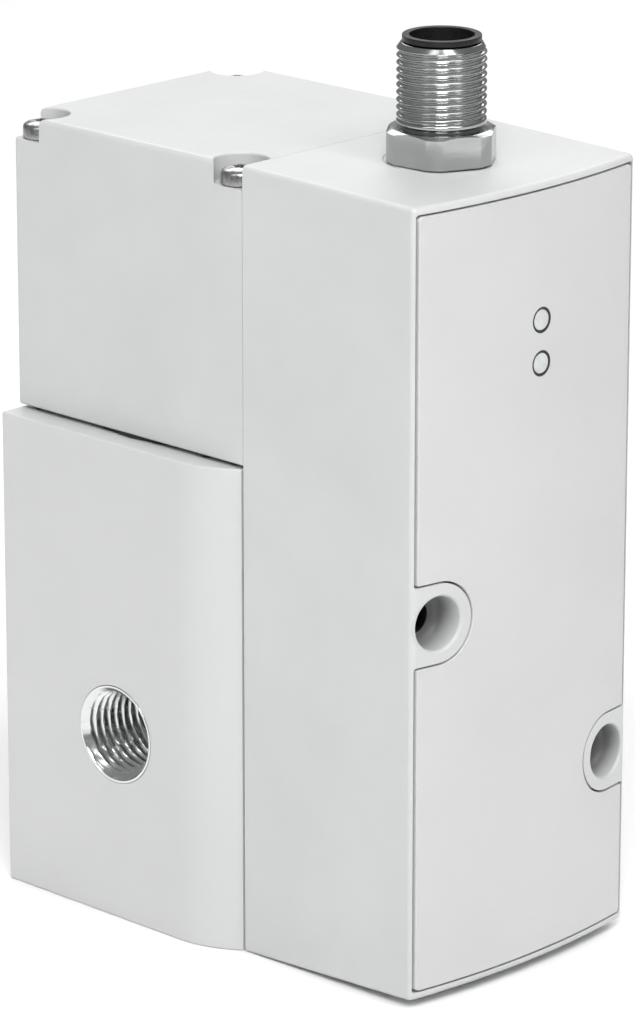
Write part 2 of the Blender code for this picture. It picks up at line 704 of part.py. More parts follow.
def pan_screw(name, location, rotation, radius, length, head_radius, head_height, edge=None):
    """A screw whose head's underside is at its location, with a hexagon socket in the domed head."""
    edge = edge or head_height / 2
    rise = head_height - edge
    angles = [math.pi / 2 * i / DOME_STEPS for i in range(DOME_STEPS + 1)]
    dome = [(head_radius * math.sin(a), edge + rise * math.cos(a)) for a in angles]
    profile = dome + [(head_radius, 0), (radius, 0), (radius, -length), (0, -length)]
    sides = SMALL if length < SCREW_LENGTH else COARSE
    screw = turned(name, profile, location, rotation, STEEL, sides, ring=False)
    depth = min(SOCKET_DEPTH, head_height * SOCKET_SHARE)
    socket = hexagon(f"{name}_socket", min(SOCKET_ACROSS, head_radius), head_height - depth,
                     head_height + CUT_OVERRUN, 0, location)
    socket.rotation_euler = rotation
    cut(screw, socket)


def pressure_sensor():
    """A sensor on the back of the board, with a nipple through the rear wall to the sensing bore."""
    half = SENSOR_SIZE / 2
    front = -BOARD_BACK + SEAT
    back = front + SENSOR_DEPTH
    body = block("pressure_sensor", (-half, front, SENSOR_Z - half), (half, back, SENSOR_Z + half), BLACK)
    length = HOUSING_BACK - back + SENSOR_DEPTH / 2
    nipple = rod("sensor_nipple", SENSOR_NIPPLE_RADIUS, length, (0, HOUSING_BACK, SENSOR_Z), TO_FRONT,
                 sides=COARSE)
    combine(body, nipple, "UNION")
    wire = SENSOR_SEAL_WIRE
    place = (0, SENSOR_POCKET, SENSOR_Z)
    seal_ring("sensor_seal", SENSE_BORE_RADIUS, wire, wire / 2 + SEAT, place, TO_FRONT, RUBBER)


def connector():
    """The round plug: a threaded metal sleeve with a six-sided foot, its insert, pins, nut and seal."""
    top = HOUSING_HEIGHT
    foot = -SPOT_FACE_DEPTH + SEAT
    place = (0, PLUG_Y, top)
    groove_radius = SHANK_RADIUS + TOP_SEAL_WIRE + 2 * FIT
    groove_top = foot + TOP_SEAL_WIRE + 2 * SEAT
    shoulder = (HEXAGON_HEIGHT + groove_top) / 2
    profile = [
        (THREAD_RADIUS - THREAD_CHAMFER, THREAD_TOP),
        (THREAD_RADIUS, THREAD_TOP - THREAD_CHAMFER),
        (THREAD_RADIUS, HEXAGON_HEIGHT + UNDERCUT_HEIGHT),
        (UNDERCUT_RADIUS, HEXAGON_HEIGHT + UNDERCUT_HEIGHT / 2),
        (UNDERCUT_RADIUS, shoulder),
        (SHANK_RADIUS, shoulder),
        (SHANK_RADIUS, -SHANK_LENGTH),
        (SLEEVE_BORE, -SHANK_LENGTH),
        (SLEEVE_BORE, THREAD_TOP),
    ]
    sleeve = turned("connector_sleeve", profile, place, UP, NICKEL, FINE)
    nut = hexagon("foot_hexagon", HEXAGON_FLATS, foot, HEXAGON_HEIGHT, HEXAGON_TURN, place)
    corner = HEXAGON_CORNERS / 2
    slope = HEXAGON_CHAMFER * math.sqrt(3)
    disc = [
        (0, HEXAGON_HEIGHT),
        (corner - slope, HEXAGON_HEIGHT),
        (corner, HEXAGON_HEIGHT - HEXAGON_CHAMFER),
        (corner, foot),
        (0, foot),
    ]
    combine(nut, turned("foot_disc", disc, place, UP, None, FINE, ring=False), "INTERSECT")
    start = (0, PLUG_Y, top - CUT_OVERRUN)
    inside_wall = (SLEEVE_BORE + UNDERCUT_RADIUS) / 2
    cut(nut, rod("foot_bore", inside_wall, HEXAGON_HEIGHT + 2 * CUT_OVERRUN, start))
    cut(nut, rod("foot_groove", groove_radius, groove_top + CUT_OVERRUN, start))
    combine(sleeve, nut, "UNION")
    wire = TOP_SEAL_WIRE
    seal_ring("connector_seal", SHANK_RADIUS + SEAT, wire, foot + wire / 2 + SEAT / 2, place, UP, RUBBER)
    under = -TOP_WALL - TOP_DRAFT - SEAT
    inner_nut = hexagon("connector_nut", NUT_FLATS, under - NUT_HEIGHT, under, 0, place, NICKEL)
    start = (0, PLUG_Y, top + under - NUT_HEIGHT - CUT_OVERRUN)
    cut(inner_nut, rod("nut_thread", SHANK_RADIUS + FIT, NUT_HEIGHT + 2 * CUT_OVERRUN, start))
    connector_insert(place)


def connector_insert(place):
    """The black insert with its key, and the pins that stand in it."""
    body = SLEEVE_BORE - FIT
    profile = [
        (0, SOCKET_FLOOR),
        (SOCKET_RADIUS, SOCKET_FLOOR),
        (SOCKET_RADIUS, COLLAR_TOP),
        (COLLAR_RADIUS, COLLAR_TOP),
        (COLLAR_RADIUS, THREAD_TOP + FIT),
        (body, THREAD_TOP + FIT),
        (body, -INSERT_BOTTOM),
        (0, -INSERT_BOTTOM),
    ]
    insert = turned("connector_insert", profile, place, UP, BLACK, MEDIUM, ring=False)
    half = KEY_WIDTH / 2
    top = HOUSING_HEIGHT
    wall = (SOCKET_RADIUS + body) / 2
    key = block(
        "socket_key",
        (-half, PLUG_Y - wall, top + SOCKET_FLOOR - FIT),
        (half, PLUG_Y - SOCKET_RADIUS + KEY_DEPTH, top + THREAD_TOP),
    )
    combine(insert, key, "UNION")
    places = [(0, 0)] + arc((0, 0), PIN_CIRCLE, FIRST_PIN, LAST_PIN, 3)
    for number, (x, y) in enumerate(places, 1):
        start = (x, PLUG_Y + y, top - PIN_BOTTOM)
        hole = rod(f"pin_hole_{number}", PIN_RADIUS + SEAT, PIN_BOTTOM + SOCKET_FLOOR + CUT_OVERRUN,
                   (x, PLUG_Y + y, top - INSERT_BOTTOM - CUT_OVERRUN), sides=SMALL)
        cut(insert, hole)
        rod(f"contact_pin_{number}", PIN_RADIUS, PIN_BOTTOM + PIN_TOP, start, UP, GOLD, sides=SMALL)


def body_outline():
    """The valve body in plan: flat sides that bend inwards to meet the narrower housing."""
    half, bend, depth = BODY_WIDTH / 2, BODY_BEND_RADIUS, BODY_BEND_DEPTH
    angle = math.degrees(math.asin((depth - BODY_FRONT) / bend))
    right = arc((half - bend, depth), bend, -angle, 0, BEND_STEPS)
    right += arc((half - BODY_EDGE, BLOCK_DEPTH - BODY_EDGE), BODY_EDGE, 0, 90, 2)
    return right + [(-x, y) for x, y in reversed(right)]


def valve_body():
    """The lower block, with the valve's chambers on its axis, the ports and the bores for screws."""
    body = extruded("valve_body", body_outline(), 0, BODY_HEIGHT, "Z", BODY_GREY)
    round_edges(body, BODY_EDGE, BODY_EDGE_STEPS, lambda middle, along: 0 if round(abs(along.z)) else 1)
    axis = (0, VALVE_Y)
    steps = [
        ("plug_bore", PLUG_RADIUS, -CUT_OVERRUN, PLUG_TOP + FIT),
        ("lower_chamber", LOWER_CHAMBER_RADIUS, PLUG_TOP - CUT_OVERRUN, SEAT_SHOULDER),
        ("upper_chamber", UPPER_CHAMBER_RADIUS, SEAT_SHOULDER - CUT_OVERRUN, UPPER_CHAMBER_TOP),
        ("stem_bore", PISTON_STEM_RADIUS + FIT, UPPER_CHAMBER_TOP - CUT_OVERRUN,
         CONTROL_CHAMBER_FLOOR + CUT_OVERRUN),
        ("control_chamber", CONTROL_CHAMBER_RADIUS, CONTROL_CHAMBER_FLOOR, BODY_HEIGHT + CUT_OVERRUN),
    ]
    for name, radius, low, high in steps:
        cut(body, rod(name, radius, high - low, (*axis, low)))
    low = UPPER_CHAMBER_TOP - CUT_OVERRUN
    cut(body, rod("feedback_hole", FEEDBACK_HOLE_RADIUS, CONTROL_CHAMBER_FLOOR + CUT_OVERRUN - low,
                  (-FEEDBACK_HOLE_X, VALVE_Y, low), sides=SMALL))
    for name, side, z, chamber in (
        ("supply", -1, SUPPLY_PORT_Z, LOWER_CHAMBER_RADIUS),
        ("outlet", 1, OUTLET_PORT_Z, UPPER_CHAMBER_RADIUS),
    ):
        outwards = TO_RIGHT if side > 0 else TO_LEFT
        pocket_end = BODY_WIDTH / 2 - PORT_INSERT_LENGTH - SEAT
        pocket = rod(f"{name}_pocket", PORT_RIM_RADIUS + FIT, PORT_INSERT_LENGTH + CUT_OVERRUN,
                     (side * pocket_end, VALVE_Y, z), outwards, sides=FINE)
        start = side * chamber / 2
        passage = rod(f"{name}_passage", PORT_PASSAGE_RADIUS, pocket_end + FIT - abs(start),
                      (start, VALVE_Y, z), outwards)
        cut(body, pocket, passage)
    for number, (x, z) in enumerate(BORES, 1):
        start = (x, BLOCK_DEPTH + CUT_OVERRUN, z)
        length = BLOCK_DEPTH + 2 * CUT_OVERRUN
        cut(body, rod(f"body_bore_{number}", BORE_RADIUS, length, start, TO_FRONT, sides=COARSE))
    screw_bottom = NOTCH_FLOOR + SEAT - SCREW_LENGTH - FIT
    for number, (x, y) in enumerate(SCREW_PLACES, 1):
        cut(body, rod(f"body_thread_{number}", SCREW_RADIUS + FIT, BODY_HEIGHT + CUT_OVERRUN - screw_bottom,
                      (x, y, screw_bottom), sides=COARSE))
    for number, (x, z) in enumerate(HOUSING_SCREWS[:2], 1):
        cut(body, housing_thread(f"lower_thread_{number}", x, z))
    start = (0, VALVE_Y - UPPER_CHAMBER_RADIUS / 2, SENSOR_Z)
    cut(body, rod("sense_bore", SENSE_BORE_RADIUS, VALVE_Y, start, TO_FRONT, sides=SMALL))
    start = (0, SENSOR_POCKET, SENSOR_Z)
    pocket_radius = SENSE_BORE_RADIUS + SENSOR_SEAL_WIRE + FIT
    length = SENSOR_POCKET + CUT_OVERRUN
    cut(body, rod("sensor_seal_pocket", pocket_radius, length, start, TO_FRONT, sides=COARSE))


def housing_thread(name, x, z):
    """The hole that a screw of the housing enters in a rear block."""
    head = HOUSING_BACK - REAR_WALL - SEAT
    start = (x, head + HOUSING_SCREW_LENGTH + FIT, z)
    return rod(name, HOUSING_SCREW_RADIUS + FIT, HOUSING_SCREW_LENGTH + CUT_OVERRUN, start, TO_FRONT,
               sides=COARSE)


def port_inserts():
    """Metal thread inserts with a lead-in chamfer, one in each side of the valve body."""
    length = PORT_INSERT_LENGTH
    groove_start = (length - PORT_GROOVE_WIDTH) / 2
    slope = PORT_CHAMFER_RADIUS - PORT_BORE_RADIUS
    profile = [
        (PORT_RIM_RADIUS, 0),
        (PORT_RIM_RADIUS, -groove_start),
        (PORT_RIM_RADIUS - PORT_GROOVE_DEPTH, -groove_start),
        (PORT_RIM_RADIUS - PORT_GROOVE_DEPTH, -groove_start - PORT_GROOVE_WIDTH),
        (PORT_RIM_RADIUS, -groove_start - PORT_GROOVE_WIDTH),
        (PORT_RIM_RADIUS, -length),
        (PORT_BORE_RADIUS, -length),
        (PORT_BORE_RADIUS, -slope),
        (PORT_CHAMFER_RADIUS, 0),
    ]
    half = BODY_WIDTH / 2
    turned("supply_port_insert", profile, (-half, VALVE_Y, SUPPLY_PORT_Z), TO_LEFT, NICKEL, FINE)
    turned("outlet_port_insert", profile, (half, VALVE_Y, OUTLET_PORT_Z), TO_RIGHT, NICKEL, FINE)


def valve_parts():
    """Seat, poppet, spring and bottom plug, all on the valve axis."""
    place = (0, VALVE_Y, 0)
    seat_top = SEAT_SHOULDER - SEAT
    seat_bottom = seat_top - SEAT_RING_HEIGHT
    outer = LOWER_CHAMBER_RADIUS - SEAT
    lip = seat_bottom - SEAT_LIP
    turned("valve_seat", [
        (outer, seat_top),
        (outer, seat_bottom),
        (SEAT_BORE + 2 * SEAT_LIP, seat_bottom),
        (SEAT_BORE + SEAT_LIP / 2, lip),
        (SEAT_BORE, lip),
        (SEAT_BORE, seat_top),
    ], place, UP, BRASS, MEDIUM)

    flange_top = POPPET_FACE - POPPET_SEAL_HEIGHT - SEAT
    flange_bottom = flange_top - POPPET_FLANGE_HEIGHT
    tube_bottom = EXHAUST_DEPTH + VALVE_TRAVEL + FIT
    poppet = turned("poppet", [
        (POPPET_TUBE_RADIUS, POPPET_TOP),
        (POPPET_TUBE_RADIUS, flange_top),
        (POPPET_FLANGE_RADIUS, flange_top),
        (POPPET_FLANGE_RADIUS, flange_bottom),
        (POPPET_TUBE_RADIUS, flange_bottom),
        (POPPET_TUBE_RADIUS, tube_bottom),
        (POPPET_HOLE_RADIUS, tube_bottom),
        (POPPET_HOLE_RADIUS, POPPET_TOP),
    ], place, UP, BRASS, COARSE)
    seal = turned("poppet_seal", [
        (POPPET_FLANGE_RADIUS, POPPET_FACE),
        (POPPET_FLANGE_RADIUS, flange_top + SEAT),
        (POPPET_TUBE_RADIUS + SEAT, flange_top + SEAT),
        (POPPET_TUBE_RADIUS + SEAT, POPPET_FACE),
    ], place, UP, RUBBER, MEDIUM)
    spring = coil("poppet_spring", SPRING_RADIUS, SPRING_WIRE, PLUG_TOP + SEAT, flange_bottom - SEAT,
                  SPRING_TURNS, 0, VALVE_Y, STEEL)
    carry("poppet_axis", place, poppet, seal, spring)

    radius = PLUG_RADIUS - FIT
    groove = PLUG_SEAL_WIRE
    groove_top = PLUG_TOP - groove
    guide = POPPET_TUBE_RADIUS + SEAT
    stem_low = (EXHAUST_DEPTH + PLUG_TOP - STEM_SEAL_WIRE) / 2 - SEAT
    stem_high = stem_low + STEM_SEAL_WIRE + 2 * SEAT
    turned("bottom_plug", [
        (radius, PLUG_TOP),
        (radius, groove_top),
        (radius - groove, groove_top),
        (radius - groove, groove_top - groove - 2 * SEAT),
        (radius, groove_top - groove - 2 * SEAT),
        (radius, PLUG_SUNK),
        (EXHAUST_RADIUS, PLUG_SUNK),
        (EXHAUST_RADIUS, EXHAUST_DEPTH),
        (guide, EXHAUST_DEPTH),
        (guide, stem_low),
        (guide + STEM_SEAL_WIRE, stem_low),
        (guide + STEM_SEAL_WIRE, stem_high),
        (guide, stem_high),
        (guide, PLUG_TOP),
    ], place, UP, BRASS, MEDIUM)
    middle = groove_top - groove / 2 - SEAT
    seal_ring("plug_seal", radius - groove + SEAT, groove, middle, place, UP, RUBBER)
    middle = (stem_low + stem_high) / 2
    seal_ring("stem_seal", guide, STEM_SEAL_WIRE - SEAT, middle, place, UP, RUBBER)


def diaphragm_parts():
    """The piston, the folded rubber diaphragm clamped between the blocks, and the plate on top of it."""
    place = (0, VALVE_Y, 0)
    under = BODY_HEIGHT + SEAT
    over = CAP_BOTTOM - SEAT
    plate_top = under - SEAT
    plate_bottom = plate_top - PISTON_PLATE_HEIGHT
    piston = turned("piston", [
        (0, PISTON_NECK_TOP),
        (PISTON_NECK_RADIUS, PISTON_NECK_TOP),
        (PISTON_NECK_RADIUS, plate_top),
        (PISTON_PLATE_RADIUS, plate_top),
        (PISTON_PLATE_RADIUS, plate_bottom),
        (PISTON_STEM_RADIUS, plate_bottom),
        (PISTON_STEM_RADIUS, POPPET_TOP + SEAT),
        (0, POPPET_TOP + SEAT),
    ], place, UP, BRASS, MEDIUM, ring=False)
    hole = PISTON_NECK_RADIUS + SEAT
    outer_fold = CONTROL_CHAMBER_RADIUS - DIAPHRAGM_FOLD_AIR
    inner_fold = PISTON_PLATE_RADIUS + DIAPHRAGM_FOLD_AIR
    sheet = over - under
    middle = (outer_fold + inner_fold) / 2
    half = (outer_fold - inner_fold) / 2

    def fold(top, narrower, outwards):
        """Half an ellipse below a height, between the plate's edge and the chamber's wall."""
        width, depth = half - narrower, DIAPHRAGM_FOLD_DEPTH - narrower
        angles = [math.pi * i / FOLD_STEPS for i in range(FOLD_STEPS + 1)]
        points = [(middle + width * math.cos(a), top - depth * math.sin(a)) for a in angles]
        return points[::-1] if outwards else points

    profile = [(DIAPHRAGM_RADIUS, over), (DIAPHRAGM_RADIUS, under)]
    profile += fold(under, 0, False)
    profile += [(hole, under), (hole, over)]
    profile += fold(over, sheet, True)
    turned("diaphragm", profile, place, UP, RUBBER, MEDIUM)
    low = CAP_BOTTOM
    plate = turned("diaphragm_plate", [
        (DIAPHRAGM_PLATE_RADIUS, low + DIAPHRAGM_PLATE_HEIGHT),
        (DIAPHRAGM_PLATE_RADIUS, low),
        (hole, low),
        (hole, low + DIAPHRAGM_PLATE_HEIGHT),
    ], place, UP, STEEL, MEDIUM)
    carry("piston_axis", place, piston, plate)
    radius = CHANNEL_SEAL_RADIUS
    wall = radius / 2
    turned("channel_seal", [(radius, over), (radius, under), (wall, under), (wall, over)],
           (-CHANNEL_SEAL_X, CHANNEL_SEAL_Y, 0), UP, RUBBER, COARSE)


def carry(name, place, *things):
    """Hangs parts that move together on an empty on their axis."""
    holder = bpy.data.objects.new(name, None)
    holder.location = place
    PARTS.objects.link(holder)
    for thing in things:
        thing.location = [a - b for a, b in zip(thing.location, place)]
        thing.parent = holder


def notch(name, x, y):
    """The open corner for a screw's head: round at the screw, square out to the block's corner."""
    side = math.copysign(NOTCH_RADIUS, x)
    back = math.copysign(NOTCH_RADIUS, y - VALVE_Y)
    points = arc((0, 0), 1, 90, 360, NOTCH_STEPS) + [(1, 1)]
    outline = [(x + side * u, y + back * v) for u, v in points]
    return extruded(name, outline, NOTCH_FLOOR, HOUSING_HEIGHT + CUT_OVERRUN, "Z")


def pilot_cap():
    """The upper block: a chamber above the diaphragm, a cavity for the pilot valves and four notches."""
    half = CAP_WIDTH / 2
    low, high = (-half, BLOCK_FRONT, CAP_BOTTOM), (half, BLOCK_DEPTH, HOUSING_HEIGHT)
    cap = block("pilot_cap", low, high, LIGHT_GREY)

    def weight(middle, along):
        return SEAM_EDGE / CAP_EDGE if middle.y < BLOCK_FRONT + FIT or middle.z < CAP_BOTTOM + FIT else 1

    round_edges(cap, CAP_EDGE, CAP_EDGE_STEPS, weight)
    chamber_low = CAP_BOTTOM - CUT_OVERRUN
    cut(cap, rod("pilot_chamber", CONTROL_CHAMBER_RADIUS, PILOT_CHAMBER_TOP - chamber_low,
                 (0, VALVE_Y, chamber_low)))
    cut(cap, block("valve_cavity", (-CAVITY_WIDTH / 2, -CUT_OVERRUN, CAVITY_FLOOR),
                   (CAVITY_WIDTH / 2, CAVITY_DEPTH, CAVITY_TOP)))
    for number, side in enumerate((-1, 1), 1):
        low = PILOT_CHAMBER_TOP - CUT_OVERRUN
        cut(cap, rod(f"nozzle_hole_{number}", NOZZLE_RADIUS + SEAT, CAVITY_FLOOR + CUT_OVERRUN - low,
                     (side * PILOT_X, PILOT_Y, low), sides=COARSE))
    for number, (x, z) in enumerate(HOUSING_SCREWS[2:], 1):
        cut(cap, housing_thread(f"upper_thread_{number}", x, z))
    for number, (x, y) in enumerate(SCREW_PLACES, 1):
        cut(cap, rod(f"cap_hole_{number}", SCREW_RADIUS + FIT, NOTCH_FLOOR + CUT_OVERRUN - chamber_low,
                     (x, y, chamber_low), sides=COARSE))
        cut(cap, notch(f"notch_{number}", x, y))


def pilot_valves():
    """Two small solenoid valves that fill and vent the chamber above the diaphragm."""
    for name, side in (("fill", -1), ("vent", 1)):
        x = side * PILOT_X
        place = (x, PILOT_Y, 0)
        low = CAVITY_FLOOR + SEAT
        turned(f"{name}_coil", [
            (0, low + COIL_HEIGHT),
            (COIL_RADIUS, low + COIL_HEIGHT),
            (COIL_RADIUS, low),
            (COIL_BORE, low),
            (COIL_BORE, COIL_BORE_TOP),
            (0, COIL_BORE_TOP),
        ], place, UP, BLACK, MEDIUM, ring=False)
        nozzle_top = CAVITY_FLOOR + NOZZLE_PROUD
        turned(f"{name}_nozzle", [
            (NOZZLE_RADIUS / 2, nozzle_top),
            (NOZZLE_RADIUS, CAVITY_FLOOR),
            (NOZZLE_RADIUS, PILOT_CHAMBER_TOP),
            (NOZZLE_HOLE, PILOT_CHAMBER_TOP),
            (NOZZLE_HOLE, nozzle_top),
        ], place, UP, BRASS, COARSE)
        start = (x, PILOT_Y, nozzle_top + SEAT)
        armature = rod(f"{name}_armature", ARMATURE_RADIUS, ARMATURE_LENGTH, start, UP, STEEL, sides=COARSE)
        low, high = nozzle_top + ARMATURE_LENGTH + 2 * SEAT, COIL_BORE_TOP - SEAT
        spring = coil(f"{name}_spring", PILOT_SPRING_RADIUS, PILOT_SPRING_WIRE, low, high,
                      PILOT_SPRING_TURNS, x, PILOT_Y, STEEL)
        carry(f"{name}_axis", place, armature, spring)


def screws():
    """The screws through the cap into the valve body, and those from the housing into both blocks."""
    for number, (x, y) in enumerate(SCREW_PLACES, 1):
        pan_screw(f"cap_screw_{number}", (x, y, NOTCH_FLOOR + SEAT), UP, SCREW_RADIUS, SCREW_LENGTH,
                  SCREW_HEAD_RADIUS, SCREW_HEAD_HEIGHT, SCREW_HEAD_EDGE)
    for number, (x, z) in enumerate(HOUSING_SCREWS, 1):
        place = (x, HOUSING_BACK - REAR_WALL - SEAT, z)
        pan_screw(f"housing_screw_{number}", place, TO_FRONT, HOUSING_SCREW_RADIUS, HOUSING_SCREW_LENGTH,
                  HOUSING_SCREW_HEAD, HOUSING_SCREW_HEAD_HEIGHT)


def centre_on_footprint():
    """Hangs everything on one empty, which puts the middle of the footprint over the world's origin."""
    holder = bpy.data.objects.new("regulator", None)
    holder.location = (0, CENTRE_Y, 0)
    for thing in list(PARTS.objects) + list(CUTTERS.objects):
        if not thing.parent:
            thing.parent = holder
    PARTS.objects.link(holder)


clear_scene()
PARTS = collection("electro_pneumatic_regulator")
CUTTERS = collection("cutters")
LIGHT_GREY = material("light grey moulded plastic", (0.62, 0.64, 0.63), 0.55)
COVER_GREY = material("pale grey cover plastic", (0.70, 0.71, 0.71), 0.45)
BODY_GREY = material("painted valve body", (0.66, 0.67, 0.67), 0.5)
NICKEL = material("bright nickel plate", (0.70, 0.69, 0.66), 0.22, 1.0)
STEEL = material("zinc plated steel", (0.60, 0.60, 0.60), 0.35, 1.0)
BRASS = material("turned brass", (0.75, 0.60, 0.32), 0.3, 1.0)
GOLD = material("gold plated contact", (0.85, 0.65, 0.30), 0.25, 1.0)
BLACK = material("black plastic", (0.02, 0.02, 0.02), 0.5)
RUBBER = material("black rubber", (0.015, 0.015, 0.015), 0.8)
GREEN = material("green circuit board", (0.02, 0.16, 0.06), 0.4)
CLEAR = material("clear light pipe", (0.80, 0.82, 0.82), 0.15)
WHITE = material("white lamp", (0.85, 0.85, 0.80), 0.4)

electronics_housing()
front_cover()
light_pipes()
circuit_board()
pressure_sensor()
connector()
valve_body()
port_inserts()
valve_parts()
diaphragm_parts()
pilot_cap()
pilot_valves()
screws()
centre_on_footprint()
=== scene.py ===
"""Looks of an electro pneumatic regulator: moulded housing, bowed cover, round threaded plug, pilot cap,
valve block and thread inserts, set in a plain studio.

Every shape is worked out in millimetres with numpy, on grids of two parameters, in the regulator's own
frame: Y = 0 is the seam between the housing (at -Y) and the two rear blocks (at +Y), Z = 0 is the
underside. Placing a mesh turns that into metres in the model's frame.
"""

import math

import bmesh
import bpy
import numpy as np
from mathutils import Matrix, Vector


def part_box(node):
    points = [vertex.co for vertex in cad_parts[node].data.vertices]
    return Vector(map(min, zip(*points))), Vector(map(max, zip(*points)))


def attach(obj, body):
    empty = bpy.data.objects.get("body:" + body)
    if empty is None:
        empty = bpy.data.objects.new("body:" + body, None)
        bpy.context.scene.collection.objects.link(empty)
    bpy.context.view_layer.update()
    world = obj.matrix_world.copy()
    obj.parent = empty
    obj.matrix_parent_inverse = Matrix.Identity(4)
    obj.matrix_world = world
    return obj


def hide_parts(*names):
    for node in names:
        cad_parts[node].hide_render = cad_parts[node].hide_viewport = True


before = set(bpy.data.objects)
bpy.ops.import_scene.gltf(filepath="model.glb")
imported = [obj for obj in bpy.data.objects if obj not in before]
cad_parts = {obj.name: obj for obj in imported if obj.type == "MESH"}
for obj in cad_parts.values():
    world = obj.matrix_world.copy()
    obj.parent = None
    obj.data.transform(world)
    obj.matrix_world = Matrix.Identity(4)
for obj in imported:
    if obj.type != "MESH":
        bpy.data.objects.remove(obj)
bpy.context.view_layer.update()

MM = 0.001
BLOCK_DEPTH = 44.1
SEAM_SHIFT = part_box("valve_body")[1][1] - BLOCK_DEPTH * MM
TOP = 110.8
BACK_OF_HOUSING = -0.1
FRONT_OF_CAP = -0.03
FRONT_OF_VALVE_BLOCK = 0.45
BOW_RADIUS = 119.5
BOW_FRONT = 32.75
TAPER_DEPTH = 30.8
BLOCK_TOP = 69.0
BLOCK_HALF = 24.8
CAP_BOTTOM = 69.6
CAP_HALF = 21.7
VALVE_Y = BLOCK_DEPTH / 2
PLUG_Y = -15.6

# Places that several pieces share, each as X and Z.
BOSS_BORES = ((-16.95, 53.6), (16.95, 27.2))
PIPES = ((1.05, 91.6), (1.05, 85.7))
BOARD_POSTS = ((-13.0, 91.5), (13.0, 40.0))
FRONT_SCREW_X = 12.0
LOWER_SCREW_Z = 8.0
UPPER_SCREW_Z = 79.0
SENSOR_Z = 45.0

# Radii that several pieces share.
THROUGH_BORE = 2.2
SCREW_HOLE = 1.65
DIAPHRAGM_CHAMBER = 15.5

# The plug's six-sided foot: across its flats, across its turned-off corners, and its turn in degrees.
FOOT_FLATS = 14.0
FOOT_CORNERS = 15.0
FOOT_TURN = 36.0

# The turn of a flared rim at which its quarter circle stops and runs on straight, in degrees, and the
# length it runs on, as a share of its rounding.
FLARE_STOP = 80
FLARE_RUN = 0.4

# A facing is the three directions that a turned shape's radius, side and height run along.
UPWARDS = np.array([[1, 0, 0], [0, 1, 0], [0, 0, 1.0]])
TO_FRONT = np.array([[1, 0, 0], [0, 0, 1], [0, -1.0, 0]])
TO_LEFT = np.array([[0, 1, 0], [0, 0, 1], [-1.0, 0, 0]])
TO_RIGHT = np.array([[0, -1, 0], [0, 0, 1], [1.0, 0, 0]])

# Each port's name, side, facing, height and the depth at which its passage starts.
PORTS = (("supply", -1, TO_LEFT, 27.0, 4), ("outlet", 1, TO_RIGHT, 51.0, 3))


# Grids and outlines


def quads(rows, columns, joined):
    """Corner numbers of the quads of a grid of rows by columns. The columns close on themselves, and the
    rows too where joined: each quad is (r, c), (r, c + 1), (r + 1, c + 1), (r + 1, c)."""
    row = np.arange(rows if joined else rows - 1)[:, None]
    column = np.arange(columns)[None, :]
    beyond = (row + 1) % rows
    beside = (column + 1) % columns
    here, above = row * columns, beyond * columns
    corners = (here + column, here + beside, above + beside, above + column)
    return np.stack(corners, axis=-1).reshape(-1, 4)


def skin(name, rings, joined=False):
    """A closed mesh from rings of points, in millimetres. Neighbouring rings are joined by quads; the two
    outermost rings are closed by flat faces, or joined to each other where joined."""
    rows, columns, _ = rings.shape
    around = quads(rows, columns, joined)
    corners, sizes = around.ravel(), np.full(len(around), 4)
    if not joined:
        ring = np.arange(columns)
        corners = np.concatenate([corners, ring[::-1], (rows - 1) * columns + ring])
        sizes = np.concatenate([sizes, [columns, columns]])
    points = rings.reshape(-1, 3) * MM + (0, SEAM_SHIFT, 0)
    mesh = bpy.data.meshes.new(name)
    mesh.vertices.add(len(points))
    mesh.vertices.foreach_set("co", points.astype(np.float32).ravel())
    mesh.loops.add(len(corners))
    mesh.loops.foreach_set("vertex_index", corners.astype(np.int32))
    mesh.polygons.add(len(sizes))
    mesh.polygons.foreach_set("loop_start", np.concatenate([[0], np.cumsum(sizes)[:-1]]).astype(np.int32))
    mesh.update(calc_edges=True)
    made = bmesh.new()
    made.from_mesh(mesh)
    bmesh.ops.remove_doubles(made, verts=made.verts, dist=1e-7)
    bmesh.ops.dissolve_degenerate(made, dist=1e-8, edges=made.edges)
    bmesh.ops.recalc_face_normals(made, faces=made.faces)
    made.to_mesh(mesh)
    made.free()
    piece = bpy.data.objects.new(name, mesh)
    bpy.context.scene.collection.objects.link(piece)
    return piece


def arcs(*pieces):
    """A closed outline of arcs joined by straight lines: each arc is (centre u, centre v, radius, first
    angle, last angle, steps) in degrees. Gives its points and the directions that point out of it. A
    negative radius is a hollow arc, whose outward direction is towards its centre."""
    points, outwards = [], []
    for u, v, radius, first, last, steps in pieces:
        angle = np.radians(np.linspace(first, last, steps + 1))
        direction = np.stack([np.cos(angle), np.sin(angle)], axis=-1)
        points.append((u, v) + abs(radius) * direction)
        outwards.append(direction * np.sign(radius))
    return np.concatenate(points), np.concatenate(outwards)


def stack(outline, profile, lift=None):
    """Rings of an outline: ring k lies profile[k][0] inside it, at height profile[k][1]. lift adds a height
    that depends on the ring's points."""
    points, outwards = outline
    inset = np.asarray(profile, float)[:, 0][:, None, None]
    height = np.asarray(profile, float)[:, 1][:, None]
    flat = points[None] - inset * outwards[None]
    height = np.broadcast_to(height, flat.shape[:2])
    if lift is not None:
        height = height + lift(flat, height)
    return np.concatenate([flat, height[..., None]], axis=-1)


def towards_front(rings):
    """Rings in (X, Z, depth towards the front), as points in X, Y, Z."""
    return np.stack([rings[..., 0], -rings[..., 2], rings[..., 1]], axis=-1)


def quarter(inset, start, end, radius, steps=5):
    """A rounded edge as (inset, height) pairs: a quarter circle from height start, on the outline, to
    height end, at inset plus radius."""
    angle = np.linspace(0, math.pi / 2, steps + 1)
    rise = math.copysign(radius, end - start)
    return np.stack([inset + radius * (1 - np.cos(angle)), start + rise * np.sin(angle)], axis=-1)


